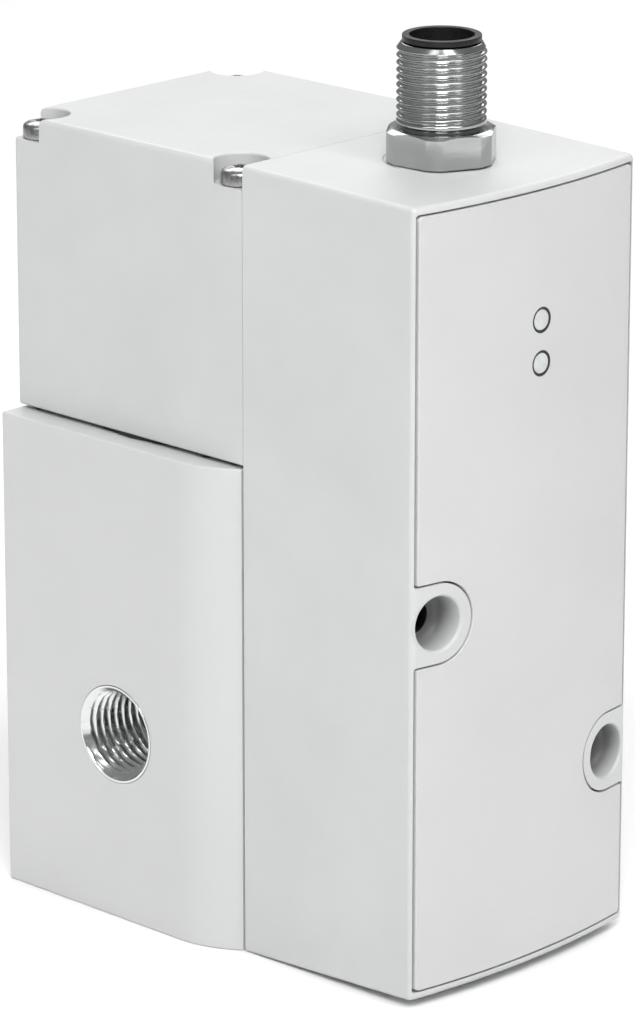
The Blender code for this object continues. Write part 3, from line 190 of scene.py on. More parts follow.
def rounded_sides(low, high, low_radius, high_radius, steps=5):
    """The profile of a plate or block between two heights with its lower and upper edges rounded."""
    under = quarter(0, low + low_radius, low, low_radius, steps)[::-1]
    over = quarter(0, high - high_radius, high, high_radius, steps)
    return np.concatenate([under, over])


def eased(profile, cut):
    """A profile whose inner corners are each replaced by a short curve: the curve leaves both legs at the
    cut length, or at a third of a shorter leg, and is (1-t)^2 A + 2t(1-t) B + t^2 C."""
    corner = np.asarray(profile, float)
    before, here, after = corner[:-2], corner[1:-1], corner[2:]
    back, ahead = before - here, after - here
    leg_back = np.linalg.norm(back, axis=1, keepdims=True)
    leg_ahead = np.linalg.norm(ahead, axis=1, keepdims=True)
    start = here + back / leg_back * np.minimum(cut, leg_back / 3)
    end = here + ahead / leg_ahead * np.minimum(cut, leg_ahead / 3)
    t = np.linspace(0, 1, 5)[None, :, None]
    curve = (1 - t) ** 2 * start[:, None] + 2 * t * (1 - t) * here[:, None] + t**2 * end[:, None]
    return np.concatenate([corner[:1], curve.reshape(-1, 2), corner[-1:]])


def revolve(profile, centre, facing=UPWARDS, around=96, radius_of=None):
    """Rings of a profile of (radius, height) turned about an axis through the centre. radius_of may give
    another radius for each (radius, height, angle)."""
    profile = np.asarray(profile, float)
    angle = np.linspace(0, 2 * math.pi, around, endpoint=False)[None, :]
    radius, height = np.broadcast_arrays(profile[:, 0][:, None], profile[:, 1][:, None] + 0 * angle)
    if radius_of is not None:
        radius = radius_of(radius, height, angle)
    local = np.stack([radius * np.cos(angle), radius * np.sin(angle), height], axis=-1)
    return np.asarray(centre, float) + local @ facing


def turned(name, profile, centre, facing=UPWARDS, around=96, radius_of=None, joined=False):
    """A turned piece: the profile's rings, joined to a mesh."""
    return skin(name, revolve(profile, centre, facing, around, radius_of), joined)


def prism(name, outline, low, high):
    """An outline in X and Y between two heights."""
    return skin(name, stack(outline, [(0, low), (0, high)]))


def front_prism(name, outline, back, front):
    """An outline in X and Z between two depths, measured from the seam towards the front."""
    return skin(name, towards_front(stack(outline, [(0, back), (0, front)])))


def slab(name, low, high):
    """A box between two corners, as a cutter."""
    (x0, y0, z0), (x1, y1, z1) = low, high
    corners = np.array([[x0, y0], [x1, y0], [x1, y1], [x0, y1]], float)
    outwards = np.zeros_like(corners)
    return prism(name, (corners, outwards), z0, z1)


def drill(name, radius, start, end, centre, facing=UPWARDS, around=64):
    """A round bar between two heights along its axis, as a cutter."""
    return turned(name, [(radius, start), (radius, end)], centre, facing, around)


# Cutting and finishing


def settled(piece):
    """The piece with its modifiers turned into mesh."""
    bpy.context.view_layer.update()
    shape = piece.evaluated_get(bpy.context.evaluated_depsgraph_get())
    mesh = bpy.data.meshes.new_from_object(shape)
    piece.modifiers.clear()
    old = piece.data
    piece.data = mesh
    bpy.data.meshes.remove(old)
    return piece


def carve(piece, cutters, keep=False):
    """Cuts all the cutters out of the piece, or keeps only what lies in the cutter, and clears them away."""
    group = bpy.data.collections.new(piece.name + "_cuts")
    for cutter in cutters:
        group.objects.link(cutter)
    cut = piece.modifiers.new("cuts", "BOOLEAN")
    cut.solver = "EXACT"
    cut.operation = "INTERSECT" if keep else "DIFFERENCE"
    cut.operand_type = "COLLECTION"
    cut.collection = group
    cut.use_self = not keep
    settled(piece)
    for cutter in cutters:
        mesh = cutter.data
        bpy.data.objects.remove(cutter, do_unlink=True)
        bpy.data.meshes.remove(mesh)
    bpy.data.collections.remove(group)
    tidy = bmesh.new()
    tidy.from_mesh(piece.data)
    bmesh.ops.remove_doubles(tidy, verts=tidy.verts, dist=2e-6)
    bmesh.ops.dissolve_limit(tidy, angle_limit=math.radians(0.05), verts=tidy.verts, edges=tidy.edges)
    tidy.to_mesh(piece.data)
    tidy.free()
    return piece


def edge_angles(mesh):
    """The angle between the two faces at each edge of a closed mesh, in degrees."""
    edge_of = np.empty(len(mesh.loops), np.int32)
    mesh.loops.foreach_get("edge_index", edge_of)
    corners = np.empty(len(mesh.polygons), np.int32)
    mesh.polygons.foreach_get("loop_total", corners)
    normals = np.empty(3 * len(mesh.polygons), np.float32)
    mesh.polygons.foreach_get("normal", normals)
    normals = normals.reshape(-1, 3)[np.repeat(np.arange(len(corners)), corners)]
    order = np.argsort(edge_of, kind="stable")
    shared = np.bincount(edge_of, minlength=len(mesh.edges)) == 2
    paired = normals[order][shared[edge_of[order]]].reshape(-1, 2, 3)
    angles = np.zeros(len(mesh.edges))
    angles[shared] = np.degrees(np.arccos(np.clip((paired[:, 0] * paired[:, 1]).sum(axis=1), -1, 1)))
    return angles


def soften(piece, width=0.14, seam=None, below=None):
    """Rounds the edges that cutting left sharper than 48 degrees, apart from those that lie in the seam's
    plane, Y = seam, and those that reach over the height below. Then shades flats flat and curves smooth."""
    mesh = piece.data
    ends = np.empty(2 * len(mesh.edges), np.int32)
    mesh.edges.foreach_get("vertices", ends)
    places = np.empty(3 * len(mesh.vertices), np.float32)
    mesh.vertices.foreach_get("co", places)
    weights = (edge_angles(mesh) > 48).astype(np.float32)
    if seam is not None:
        away = np.abs(places.reshape(-1, 3)[ends, 1] - seam * MM - SEAM_SHIFT).reshape(-1, 2)
        weights[away.max(axis=1) < 1e-5] = 0
    if below is not None:
        heights = places.reshape(-1, 3)[ends, 2].reshape(-1, 2)
        weights[heights.max(axis=1) > below * MM + 1e-6] = 0
    mesh.attributes.new("bevel_weight_edge", "FLOAT", "EDGE").data.foreach_set("value", weights)
    bevel = piece.modifiers.new("softened edges", "BEVEL")
    bevel.width = width * MM
    bevel.segments = 2
    bevel.limit_method = "WEIGHT"
    bevel.use_clamp_overlap = False
    bevel.miter_outer = "MITER_ARC"
    smooth(settled(piece), 42)
    normals = piece.modifiers.new("flat faces stay flat", "WEIGHTED_NORMAL")
    normals.keep_sharp = True
    return piece


def smooth(piece, angle=40):
    """Shades the piece smooth, apart from edges sharper than the angle, in degrees."""
    piece.data.shade_smooth()
    piece.data.set_sharp_from_angle(angle=math.radians(angle))
    return piece


def settle_in(piece, finish, node):
    """Gives a piece its material and puts it in place of a CAD node, on the regulator's own body."""
    piece.data.materials.clear()
    piece.data.materials.append(finish)
    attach(piece, "regulator")
    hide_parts(node)


# Materials


def new_finish(name, colour, roughness, metallic=0.0):
    """A material with its shader, and the object's own coordinates in metres."""
    made = bpy.data.materials.new(name)
    made.use_nodes = True
    nodes = made.node_tree.nodes
    shader = nodes["Principled BSDF"]
    shader.inputs["Base Color"].default_value = (*colour, 1)
    shader.inputs["Roughness"].default_value = roughness
    shader.inputs["Metallic"].default_value = metallic
    where = nodes.new("ShaderNodeTexCoord")
    return made, made.node_tree, shader, where.outputs["Object"]


def noise(tree, where, per_metre, detail=4.0, roughness=0.55, stretch=None):
    """Noise in space, with a size given in waves per metre. stretch scales it along X, Y and Z."""
    texture = tree.nodes.new("ShaderNodeTexNoise")
    texture.inputs["Scale"].default_value = per_metre
    texture.inputs["Detail"].default_value = detail
    texture.inputs["Roughness"].default_value = roughness
    if stretch:
        mapping = tree.nodes.new("ShaderNodeMapping")
        mapping.inputs["Scale"].default_value = stretch
        tree.links.new(where, mapping.inputs["Vector"])
        where = mapping.outputs["Vector"]
    tree.links.new(where, texture.inputs["Vector"])
    return texture.outputs["Fac"]


def ramp(tree, value, low, high, first, second):
    """Maps a value between low and high to a mix of two colours."""
    node = tree.nodes.new("ShaderNodeValToRGB")
    node.color_ramp.elements[0].position = low
    node.color_ramp.elements[0].color = (*first, 1)
    node.color_ramp.elements[1].position = high
    node.color_ramp.elements[1].color = (*second, 1)
    tree.links.new(value, node.inputs["Fac"])
    return node.outputs["Color"]


def spread(tree, value, low, high):
    """Maps noise, from 0.3 to 0.7, to a range of plain numbers."""
    node = tree.nodes.new("ShaderNodeMapRange")
    node.inputs["From Min"].default_value = 0.3
    node.inputs["From Max"].default_value = 0.7
    node.inputs["To Min"].default_value = low
    node.inputs["To Max"].default_value = high
    tree.links.new(value, node.inputs["Value"])
    return node.outputs["Result"]


def relief(tree, shader, *layers):
    """Bump layers of (height, depth in metres), each on top of the one before."""
    normal = None
    for height, depth in layers:
        bump = tree.nodes.new("ShaderNodeBump")
        bump.inputs["Strength"].default_value = 1.0
        bump.inputs["Distance"].default_value = depth
        tree.links.new(height, bump.inputs["Height"])
        if normal:
            tree.links.new(normal, bump.inputs["Normal"])
        normal = bump.outputs["Normal"]
    tree.links.new(normal, shader.inputs["Normal"])


def moulded_plastic(name, colour, roughness, grain, shade=0.03):
    """Injection moulded plastic: a spark-eroded grain, and faint clouding in colour and gloss."""
    made, tree, shader, where = new_finish(name, colour, roughness)
    cloud = noise(tree, where, 60, 3)
    darker = tuple(c * (1 - shade) for c in colour)
    lighter = tuple(min(1, c * (1 + shade)) for c in colour)
    tree.links.new(ramp(tree, cloud, 0.3, 0.7, darker, lighter), shader.inputs["Base Color"])
    fine = noise(tree, where, 5200, 2)
    tree.links.new(spread(tree, noise(tree, where, 900, 3), roughness - 0.05, roughness + 0.05),
                   shader.inputs["Roughness"])
    relief(tree, shader, (noise(tree, where, 45, 1), grain * 3), (fine, grain))
    return made


def distance_from_axis(tree, where, x, z):
    """The distance, in metres, from the axis along Y through X and Z in millimetres."""
    place = tree.nodes.new("ShaderNodeMapping")
    place.inputs["Location"].default_value = (-x * MM, 0, -z * MM)
    place.inputs["Scale"].default_value = (1, 0, 1)
    tree.links.new(where, place.inputs["Vector"])
    away = tree.nodes.new("ShaderNodeVectorMath")
    away.operation = "LENGTH"
    tree.links.new(place.outputs["Vector"], away.inputs[0])
    return away.outputs["Value"]


def print_rings(finish, centres, inner, outer):
    """Prints a black ring round each centre, given as X and Z in millimetres, over the colour of a finish.
    A point is in a ring where its distance from the centre, seen along Y, lies between the two radii."""
    tree = finish.node_tree
    base = tree.nodes["Principled BSDF"].inputs["Base Color"]
    where = tree.nodes.new("ShaderNodeTexCoord").outputs["Object"]
    colour = base.links[0].from_socket
    for x, z in centres:
        away = distance_from_axis(tree, where, x, z)
        ring = tree.nodes.new("ShaderNodeMath")
        ring.operation = "COMPARE"
        ring.inputs[1].default_value = (inner + outer) / 2 * MM
        ring.inputs[2].default_value = (outer - inner) / 2 * MM
        tree.links.new(away, ring.inputs[0])
        print_over = tree.nodes.new("ShaderNodeMixRGB")
        print_over.inputs["Color2"].default_value = (0.012, 0.012, 0.012, 1)
        tree.links.new(ring.outputs["Value"], print_over.inputs["Fac"])
        tree.links.new(colour, print_over.inputs["Color1"])
        colour = print_over.outputs["Color"]
    tree.links.new(colour, base)


def paint_bore_shade(finish, centres, radius, open_y, deep_y):
    """Paints shade into a finish down each bore, standing in for the shadow that makes its end read nearly
    black on the real one:
    within the radius of its axis, painted shade from nothing at the depth open_y to nearly black at deep_y,
    in millimetres."""
    tree = finish.node_tree
    base = tree.nodes["Principled BSDF"].inputs["Base Color"]
    where = tree.nodes.new("ShaderNodeTexCoord").outputs["Object"]
    split = tree.nodes.new("ShaderNodeSeparateXYZ")
    tree.links.new(where, split.inputs["Vector"])
    depth = tree.nodes.new("ShaderNodeMapRange")
    depth.inputs["From Min"].default_value = open_y * MM + SEAM_SHIFT
    depth.inputs["From Max"].default_value = deep_y * MM + SEAM_SHIFT
    depth.inputs["To Max"].default_value = 0.97
    tree.links.new(split.outputs["Y"], depth.inputs["Value"])
    colour = base.links[0].from_socket
    for x, z in centres:
        away = distance_from_axis(tree, where, x, z)
        inside = tree.nodes.new("ShaderNodeMath")
        inside.operation = "LESS_THAN"
        inside.inputs[1].default_value = radius * MM
        tree.links.new(away, inside.inputs[0])
        share = tree.nodes.new("ShaderNodeMath")
        share.operation = "MULTIPLY"
        tree.links.new(inside.outputs["Value"], share.inputs[0])
        tree.links.new(depth.outputs["Result"], share.inputs[1])
        # painted shade: the colour is mixed towards near black deeper in the bore
        painted_shade_mix = tree.nodes.new("ShaderNodeMixRGB")
        painted_shade_mix.inputs["Color2"].default_value = (0.01, 0.01, 0.01, 1)
        tree.links.new(share.outputs["Value"], painted_shade_mix.inputs["Fac"])
        tree.links.new(colour, painted_shade_mix.inputs["Color1"])
        colour = painted_shade_mix.outputs["Color"]
    tree.links.new(colour, base)


def painted_casting(name, colour, roughness):
    """Satin paint over a die casting: a soft orange-peel wave with a finer one on top."""
    made, tree, shader, where = new_finish(name, colour, roughness)
    cloud = noise(tree, where, 40, 4)
    darker = tuple(c * 0.975 for c in colour)
    lighter = tuple(min(1, c * 1.02) for c in colour)
    tree.links.new(ramp(tree, cloud, 0.3, 0.7, darker, lighter), shader.inputs["Base Color"])
    tree.links.new(spread(tree, noise(tree, where, 700, 3), roughness - 0.06, roughness + 0.06),
                   shader.inputs["Roughness"])
    relief(tree, shader, (noise(tree, where, 420, 2), 0.00001), (noise(tree, where, 2600, 2), 0.000004))
    return made


def machined_metal(name, colour, roughness, streak, along):
    """Turned or drawn metal: fine tool marks, which are noise stretched along one direction."""
    made, tree, shader, where = new_finish(name, colour, roughness, 1.0)
    marks = noise(tree, where, 1500, 3, 0.6, stretch=along)
    tint = noise(tree, where, 90, 3)
    darker = tuple(c * 0.9 for c in colour)
    tree.links.new(ramp(tree, tint, 0.3, 0.7, darker, colour), shader.inputs["Base Color"])
    tree.links.new(spread(tree, marks, roughness - 0.07, roughness + 0.09), shader.inputs["Roughness"])
    relief(tree, shader, (marks, streak))
    return made


def black_moulding(name, colour, roughness):
    """Glass filled black plastic: slightly mottled, with short pale fibres near the surface."""
    made, tree, shader, where = new_finish(name, colour, roughness)
    shader.inputs["Specular IOR Level"].default_value = 0.3
    fibre = noise(tree, where, 3000, 2, 0.5, stretch=(1, 0.25, 1))
    paler = tuple(c + 0.01 for c in colour)
    tree.links.new(ramp(tree, fibre, 0.45, 0.75, colour, paler), shader.inputs["Base Color"])
    tree.links.new(spread(tree, noise(tree, where, 1200, 2), roughness - 0.08, roughness + 0.08),
                   shader.inputs["Roughness"])
    relief(tree, shader, (fibre, 0.000004))
    return made


def seal_rubber(name):
    """Moulded nitrile rubber with a dusty bloom."""
    made, tree, shader, where = new_finish(name, (0.018, 0.018, 0.019), 0.7)
    bloom = noise(tree, where, 380, 5)
    tree.links.new(ramp(tree, bloom, 0.35, 0.7, (0.014, 0.014, 0.015), (0.035, 0.035, 0.036)),
                   shader.inputs["Base Color"])
    tree.links.new(spread(tree, bloom, 0.6, 0.85), shader.inputs["Roughness"])
    relief(tree, shader, (noise(tree, where, 4000, 2), 0.000006))
    return made


def light_pipe_plastic(name):
    """Clear moulded plastic that looks pale and slightly milky, with the lamp off."""
    made, tree, shader, where = new_finish(name, (0.78, 0.80, 0.80), 0.16)
    milk = noise(tree, where, 700, 3)
    tree.links.new(ramp(tree, milk, 0.3, 0.7, (0.70, 0.72, 0.72), (0.84, 0.86, 0.86)),
                   shader.inputs["Base Color"])
    shader.inputs["Transmission Weight"].default_value = 0.25
    shader.inputs["IOR"].default_value = 1.49
    relief(tree, shader, (milk, 0.000002))
    return made


def board_finish(name):
    """Green solder resist over copper tracks: tracks are bands of a wave pattern, seen as a paler green."""
    made, tree, shader, where = new_finish(name, (0.02, 0.16, 0.06), 0.35)
    tracks = tree.nodes.new("ShaderNodeTexWave")
    tracks.inputs["Scale"].default_value = 160
    tracks.inputs["Distortion"].default_value = 3
    tree.links.new(where, tracks.inputs["Vector"])
    tree.links.new(ramp(tree, tracks.outputs["Fac"], 0.55, 0.6, (0.015, 0.12, 0.05), (0.03, 0.24, 0.09)),
                   shader.inputs["Base Color"])
    relief(tree, shader, (tracks.outputs["Fac"], 0.00002))
    return made


HOUSING_GREY = moulded_plastic("housing plastic", (0.58, 0.592, 0.585), 0.45, 0.000008)
# Painted shade down the bosses' bores: the counterbores darken towards their floor and the through bores turn
# nearly black.
paint_bore_shade(HOUSING_GREY, BOSS_BORES, 4.4, -31.2, -26.0)
paint_bore_shade(HOUSING_GREY, BOSS_BORES, 2.3, -27.3, -27.1)
COVER_GREY = moulded_plastic("cover plastic", (0.58, 0.58, 0.58), 0.40, 0.000005, 0.02)
print_rings(COVER_GREY, PIPES, 1.4, 1.78)
BLOCK_PAINT = painted_casting("painted valve block", (0.595, 0.60, 0.60), 0.42)
NICKEL = machined_metal("nickel plate on brass", (0.46, 0.47, 0.47), 0.17, 0.000002, (0.15, 0.15, 1))
BRIGHT_NICKEL = machined_metal("nickel plated port thread", (0.78, 0.79, 0.79), 0.20, 0.000002,
                               (0.15, 0.15, 1))
BRASS = machined_metal("turned brass", (0.76, 0.58, 0.30), 0.3, 0.000003, (0.15, 0.15, 1))
STEEL = machined_metal("zinc plated steel", (0.42, 0.42, 0.42), 0.28, 0.000003, (1, 1, 0.3))
GOLD = machined_metal("gold plated contact", (0.90, 0.68, 0.30), 0.2, 0.000001, (1, 1, 0.2))
BLACK = black_moulding("black plug plastic", (0.008, 0.008, 0.009), 0.38)
RUBBER = seal_rubber("seal rubber")
CLEAR = light_pipe_plastic("clear light pipe")
LAMP = moulded_plastic("lamp body", (0.80, 0.79, 0.72), 0.3, 0.000002)
BOARD = board_finish("circuit board")


# Housing and cover


def bow_depth(x, offset=0.0):
    """How far the bowed front stands before the seam at x. A positive offset lies behind the front."""
    radius = BOW_RADIUS - offset
    return BOW_FRONT - BOW_RADIUS + np.sqrt(radius**2 - np.asarray(x, float) ** 2)


def cover_outline(margin, side_margin=None):
    """The cover in X and Z with a D-shaped bite round each boss. A positive margin grows the sheet. The
    straight sides may have a margin of their own."""
    cover_half, cover_bottom, cover_top, bite_radius, nick = 20.6, 2.6, 109.0, 5.75, 0.35
    half = cover_half + (margin if side_margin is None else side_margin)
    low, high = cover_bottom - margin, cover_top + margin
    corner = 0.4 if margin else 0.7
    bite = bite_radius - margin
    (left_x, left_z), (right_x, right_z) = BOSS_BORES
    return arcs(
        (half - corner, low + corner, corner, -90, 0, 8),
        (half - nick, right_z - bite - nick, nick, 0, 90, 5),
        (right_x, right_z, -bite, 270, 90, 48),
        (half - nick, right_z + bite + nick, nick, -90, 0, 5),
        (half - corner, high - corner, corner, 0, 90, 8),
        (-half + corner, high - corner, corner, 90, 180, 8),
        (-half + nick, left_z + bite + nick, nick, 180, 270, 5),
        (left_x, left_z, -bite, 90, -90, 48),
        (-half + nick, left_z - bite - nick, nick, 90, 180, 5),
        (-half + corner, low + corner, corner, 180, 270, 8),
    )


def behind_bow(name, offset, half=26.0):
    """Everything behind the bowed front moved back by the offset, as a cutter."""
    x = np.linspace(-half, half, 17)
    front = np.stack([x, -bow_depth(x, offset)], axis=-1)
    outline = np.concatenate([front, [[half, 4], [-half, 4]]])
    return prism(name, (outline, np.zeros_like(outline)), -4, 130)


def flared_hole(name, radius, floor, rounding, x, z, fillet=0.0, proud=0.0):
    """A round hole into the bowed front, as a cutter. Its rim is a quarter circle that follows the bow: at
    angle a the ring is wider by rounding * (1 - cos a) and lies rounding * (1 - sin a) behind the front. It
    stops before it lies flat and runs on straight, so that it meets the front at a clear angle. The floor
    meets the wall in another quarter circle, of the fillet's radius."""
    turn = np.linspace(0, 2 * math.pi, 96, endpoint=False)
    a = np.radians(np.linspace(0, 90, 6))
    floor_radius = radius - fillet * (1 - np.sin(a))
    floor_depth = floor + fillet * (1 - np.cos(a))
    a = np.radians(np.linspace(0, FLARE_STOP, 9))
    rim_radius = radius + rounding * (1 - np.cos(a))
    behind = rounding * (1 - np.sin(a))
    beyond = FLARE_RUN * rounding
    rim_radius = np.append(rim_radius, [rim_radius[-1] + beyond] * 2)
    behind = np.append(behind, [behind[-1] - beyond * math.tan(math.radians(90 - FLARE_STOP)), -4.0])
    across = x + rim_radius[:, None] * np.cos(turn)
    rim_depth = bow_depth(across, -proud) - behind[:, None]
    upwards = z + rim_radius[:, None] * np.sin(turn)
    rim = np.stack([across, upwards, rim_depth], -1)
    bottom = np.stack(np.broadcast_arrays(x + floor_radius[:, None] * np.cos(turn),
                                          z + floor_radius[:, None] * np.sin(turn), floor_depth[:, None]), -1)
    return skin(name, towards_front(np.concatenate([bottom, rim])))


def housing_plan():
    """The housing seen from above: sides that taper to the front, rounded corners and the bowed front,
    which are all arcs. It runs past the seam, and is cut there."""
    corner, rear, front = 0.9, 21.7, 21.5
    taper = math.degrees(math.atan2(rear - front, TAPER_DEPTH))
    centre_x = front - corner
    centre_y = -bow_depth(centre_x, corner)
    turn = math.degrees(math.asin(centre_x / (BOW_RADIUS - corner)))
    middle = BOW_RADIUS - BOW_FRONT
    return arcs(
        (centre_x, centre_y, corner, -90 + turn, -taper, 3),
        (rear - corner, 4, corner, -taper, 90, 7),
        (-rear + corner, 4, corner, 90, 180 + taper, 7),
        (-centre_x, centre_y, corner, 180 + taper, 270 - turn, 3),
        (0, middle, BOW_RADIUS, 270 - turn, 270 + turn, 12),
    )


def draft(flat, height):
    """The mould's draft: towards the front the underside rises and the top falls, and points between them
    move by a mix of the two in proportion to their height."""
    underside_rise, top_fall = 1.3, 0.6
    share = -flat[..., 1] / TAPER_DEPTH
    lowness = 1 - height / TOP
    return share * (underside_rise * lowness - top_fall * (1 - lowness))


def boss(name, x, z, radius, back, front):
    """A mounting boss: round towards the middle, straight to the side wall."""
    side = math.copysign(1, x)
    first, last = (90, 270) if side > 0 else (-90, 90)
    round_part, _ = arcs((x, z, radius, first, last, 32))
    past_wall = side * 24
    straight_part = [(past_wall, z - side * radius), (past_wall, z + side * radius)]
    corners = np.concatenate([round_part, straight_part])
    return front_prism(name, (corners, np.zeros_like(corners)), back, front)


def make_housing():
    """The outer shell, less the hollow behind the cover. The hollow leaves room for the two bosses and for
    the board's two posts, so both are cut out of it before it is cut out of the shell."""
    shell = skin("housing_moulding", stack(housing_plan(), rounded_sides(0, TOP, 0.7, 0.7, 4), draft))
    inside = slab("hollow", (-19.7, -40, 4.0), (19.7, -2.3, 107.4))
    carve(inside, [boss(f"boss_{n}", x, z, 5.9, -1, 41) for n, (x, z) in enumerate(BOSS_BORES)])
    carve(inside, [drill(f"post_{n}", 2.2, 1, 18.3, (x, 0, z), TO_FRONT, 32)
                   for n, (x, z) in enumerate(BOARD_POSTS)])
    cutters = [
        slab("rear_of_seam", (-30, BACK_OF_HOUSING, -5), (30, 10, 120)),
        front_prism("cover_recess", cover_outline(0.25, 0.4), 28.4, 40),
        inside,
        drill("spot_face", 7.7, TOP - 0.3, TOP + 4, (0, PLUG_Y, 0), around=128),
        drill("plug_hole", 5.95, TOP - 8, TOP + 3, (0, PLUG_Y, 0), around=96),
        drill("nipple_hole", 1.75, -6, 6, (0, 0, SENSOR_Z), TO_FRONT, 24),
        slab("wire_window", (-5, -5, 89.25), (5, 6, 99.25)),
    ]
    for number, (x, z) in enumerate(BOSS_BORES):
        cutters.append(flared_hole(f"counterbore_{number}", 3.7, 27.3, 0.5, x, z, 1.0))
        cutters.append(drill(f"bore_{number}", THROUGH_BORE, -6, 30, (x, 0, z), TO_FRONT, 48))
    screws = [(side * FRONT_SCREW_X, z) for z in (LOWER_SCREW_Z, UPPER_SCREW_Z) for side in (-1, 1)]
    for number, (x, z) in enumerate(screws):
        cutters.append(drill(f"screw_hole_{number}", SCREW_HOLE, -6, 6, (x, 0, z), TO_FRONT, 24))
    for number, (x, z) in enumerate(BOARD_POSTS):
        cutters.append(drill(f"post_hole_{number}", 1.15, 12.4, 25, (x, 0, z), TO_FRONT, 24))
    soften(carve(shell, cutters), 0.12, BACK_OF_HOUSING)
    settle_in(shell, HOUSING_GREY, "electronics_housing")


def make_cover():
    """A bowed lid, less the space inside its rim, with a flared hole for each light pipe."""
    lid = front_prism("cover_lid", cover_outline(0.0), 28.5, 40)
    carve(lid, [behind_bow("cover_front", -0.1)], keep=True)
    hollow = front_prism("cover_inside", cover_outline(-1.6), 20, 40)
    carve(hollow, [behind_bow("cover_back", 1.6)], keep=True)
    holes = [flared_hole(f"pipe_hole_{n}", 1.47, 20, 0.1, x, z, 0.0, 0.1) for n, (x, z) in enumerate(PIPES)]
    soften(carve(lid, [hollow, *holes]), 0.22)
    settle_in(lid, COVER_GREY, "front_cover")


def make_light_pipes():
    """Turned pipes with a softly domed end that fills the hole in the cover."""
    for name, (x, z) in zip(("power", "error"), PIPES):
        radius, bulge = 1.4, 0.2
        face = bow_depth(x) + bulge
        angle = np.linspace(0, math.pi / 2, 9)
        dome = np.stack([radius * np.sin(angle), face - bulge + bulge * np.cos(angle)], -1)
        stem = [(radius, 31.0), (2.1, 31.0), (2.1, 30.0), (radius, 30.0), (radius, 21.9), (0, 21.9)]
        pipe = turned(f"{name}_light_pipe", np.concatenate([dome, stem]), (x, 0, z), TO_FRONT, 48)
        settle_in(smooth(pipe), CLEAR, f"light_pipe_{name}")


# Round plug


def thread(major, depth, pitch, low, high, inwards=False, rolled=False):
    """Gives the radius of a helical thread at each height and angle: the depth follows a V whose crest and
    root are cut flat, or a cosine where rolled, and fades out over most of a pitch at both ends."""

    def radius(base, height, angle):
        """The thread's radius where the base lies on its major or minor line, and the base elsewhere."""
        phase = np.mod(height / pitch - angle / (2 * math.pi), 1.0)
        if rolled:
            share = 0.5 + 0.5 * np.cos(2 * math.pi * phase)
        else:
            share = np.clip((np.abs(2 * phase - 1) - 0.14) / 0.72, 0, 1)
        run_out = 0.7 * pitch
        fade = np.clip((height - low) / run_out, 0, 1) * np.clip((high - height) / run_out, 0, 1)
        on_thread = np.abs(base - major) < 1e-6
        sign = 1 if inwards else -1
        return base + sign * on_thread * depth * share * fade

    return radius


def six_sided(angle, flats, corners, turn):
    """Distance from a hexagon's centre to its side at each angle, no further than the turned-off corners."""
    away = np.mod(angle - math.radians(turn) + math.pi / 6, math.pi / 3) - math.pi / 6
    side = flats / 2 / np.cos(math.pi / 6 - np.abs(away))
    return np.minimum(side, corners / 2)


def crease_hexagon(mesh, turn, half_arc):
    """Marks the upright edges where a flat meets a turned-off corner as sharp: both ends lie more than
    7.2 mm from the axis, and half_arc degrees from the corner's middle."""
    ends = np.empty(2 * len(mesh.edges), np.int32)
    mesh.edges.foreach_get("vertices", ends)
    places = np.empty(3 * len(mesh.vertices), np.float32)
    mesh.vertices.foreach_get("co", places)
    across = places.reshape(-1, 3)[ends, :2] / MM - (0, PLUG_Y + SEAM_SHIFT / MM)
    angle = np.degrees(np.arctan2(across[:, 1], across[:, 0])) - turn
    from_corner = np.abs(np.mod(angle + 30, 60) - 30)
    on_border = (np.hypot(*across.T) > 7.2) & (np.abs(from_corner - half_arc) < 0.4)
    sharp = np.zeros(len(mesh.edges), bool)
    mesh.attributes["sharp_edge"].data.foreach_get("value", sharp)
    mesh.attributes["sharp_edge"].data.foreach_set("value", sharp | on_border.reshape(-1, 2).all(axis=1))


def make_plug_sleeve():
    """The threaded sleeve and its six-sided foot, as one grid round the plug's axis. Rows run from the
    bore, over the rim, down the thread, out over the foot's chamfered top and down its flats."""
    around, axis = 240, (0, 0, 0)
    angle = np.linspace(0, 2 * math.pi, around, endpoint=False)[None, :]
    rim, major, neck_radius, neck_foot = 15.7, 6.0, 5.3, 4.3
    head = eased([(4.9, -9.0), (4.9, rim), (5.38, rim), (major, rim - 0.62)], 0.12)
    rows = np.linspace(rim - 0.66, 5.0, 260)
    shaft = np.stack([np.full_like(rows, major), rows], axis=-1)
    neck = eased([(major, 4.98), (5.45, 4.65), (neck_radius, 4.55), (neck_radius, neck_foot)], 0.08)
    profile = np.concatenate([head, shaft, neck])
    upper = revolve(profile, axis, UPWARDS, around, thread(major, 0.55, 1.0, 5.2, rim - 0.2, rolled=True))
    foot = six_sided(angle, FOOT_FLATS, FOOT_CORNERS, FOOT_TURN)
    share = np.linspace(0, 1, 14)[1:, None]
    radius = neck_radius + share * (foot - neck_radius)
    bevel = np.maximum(0, radius - 6.75) * math.tan(math.radians(30))
    crown = np.stack([radius * np.cos(angle), radius * np.sin(angle), neck_foot - bevel], axis=-1)
    foot_z, lower_edge, hollow_radius, hollow_z = -0.2, 0.15, 6.9, 0.8
    flats = np.stack([np.stack([r * np.cos(angle[0]), r * np.sin(angle[0]), np.full(around, z)], -1)
                      for r, z in ((foot[0], lower_edge + foot_z), (foot[0] - lower_edge, foot_z),
                                   (hollow_radius, foot_z))])
    under = revolve([(hollow_radius, hollow_z), (5.8, hollow_z), (5.8, -9.0)], axis, UPWARDS, around)
    rings = np.concatenate([upper, crown, flats, under]) + (0, PLUG_Y, TOP)
    sleeve = smooth(skin("plug_sleeve", rings, joined=True), 30)
    crease_hexagon(sleeve.data, FOOT_TURN, 8.96)
    settle_in(sleeve, NICKEL, "connector_sleeve")


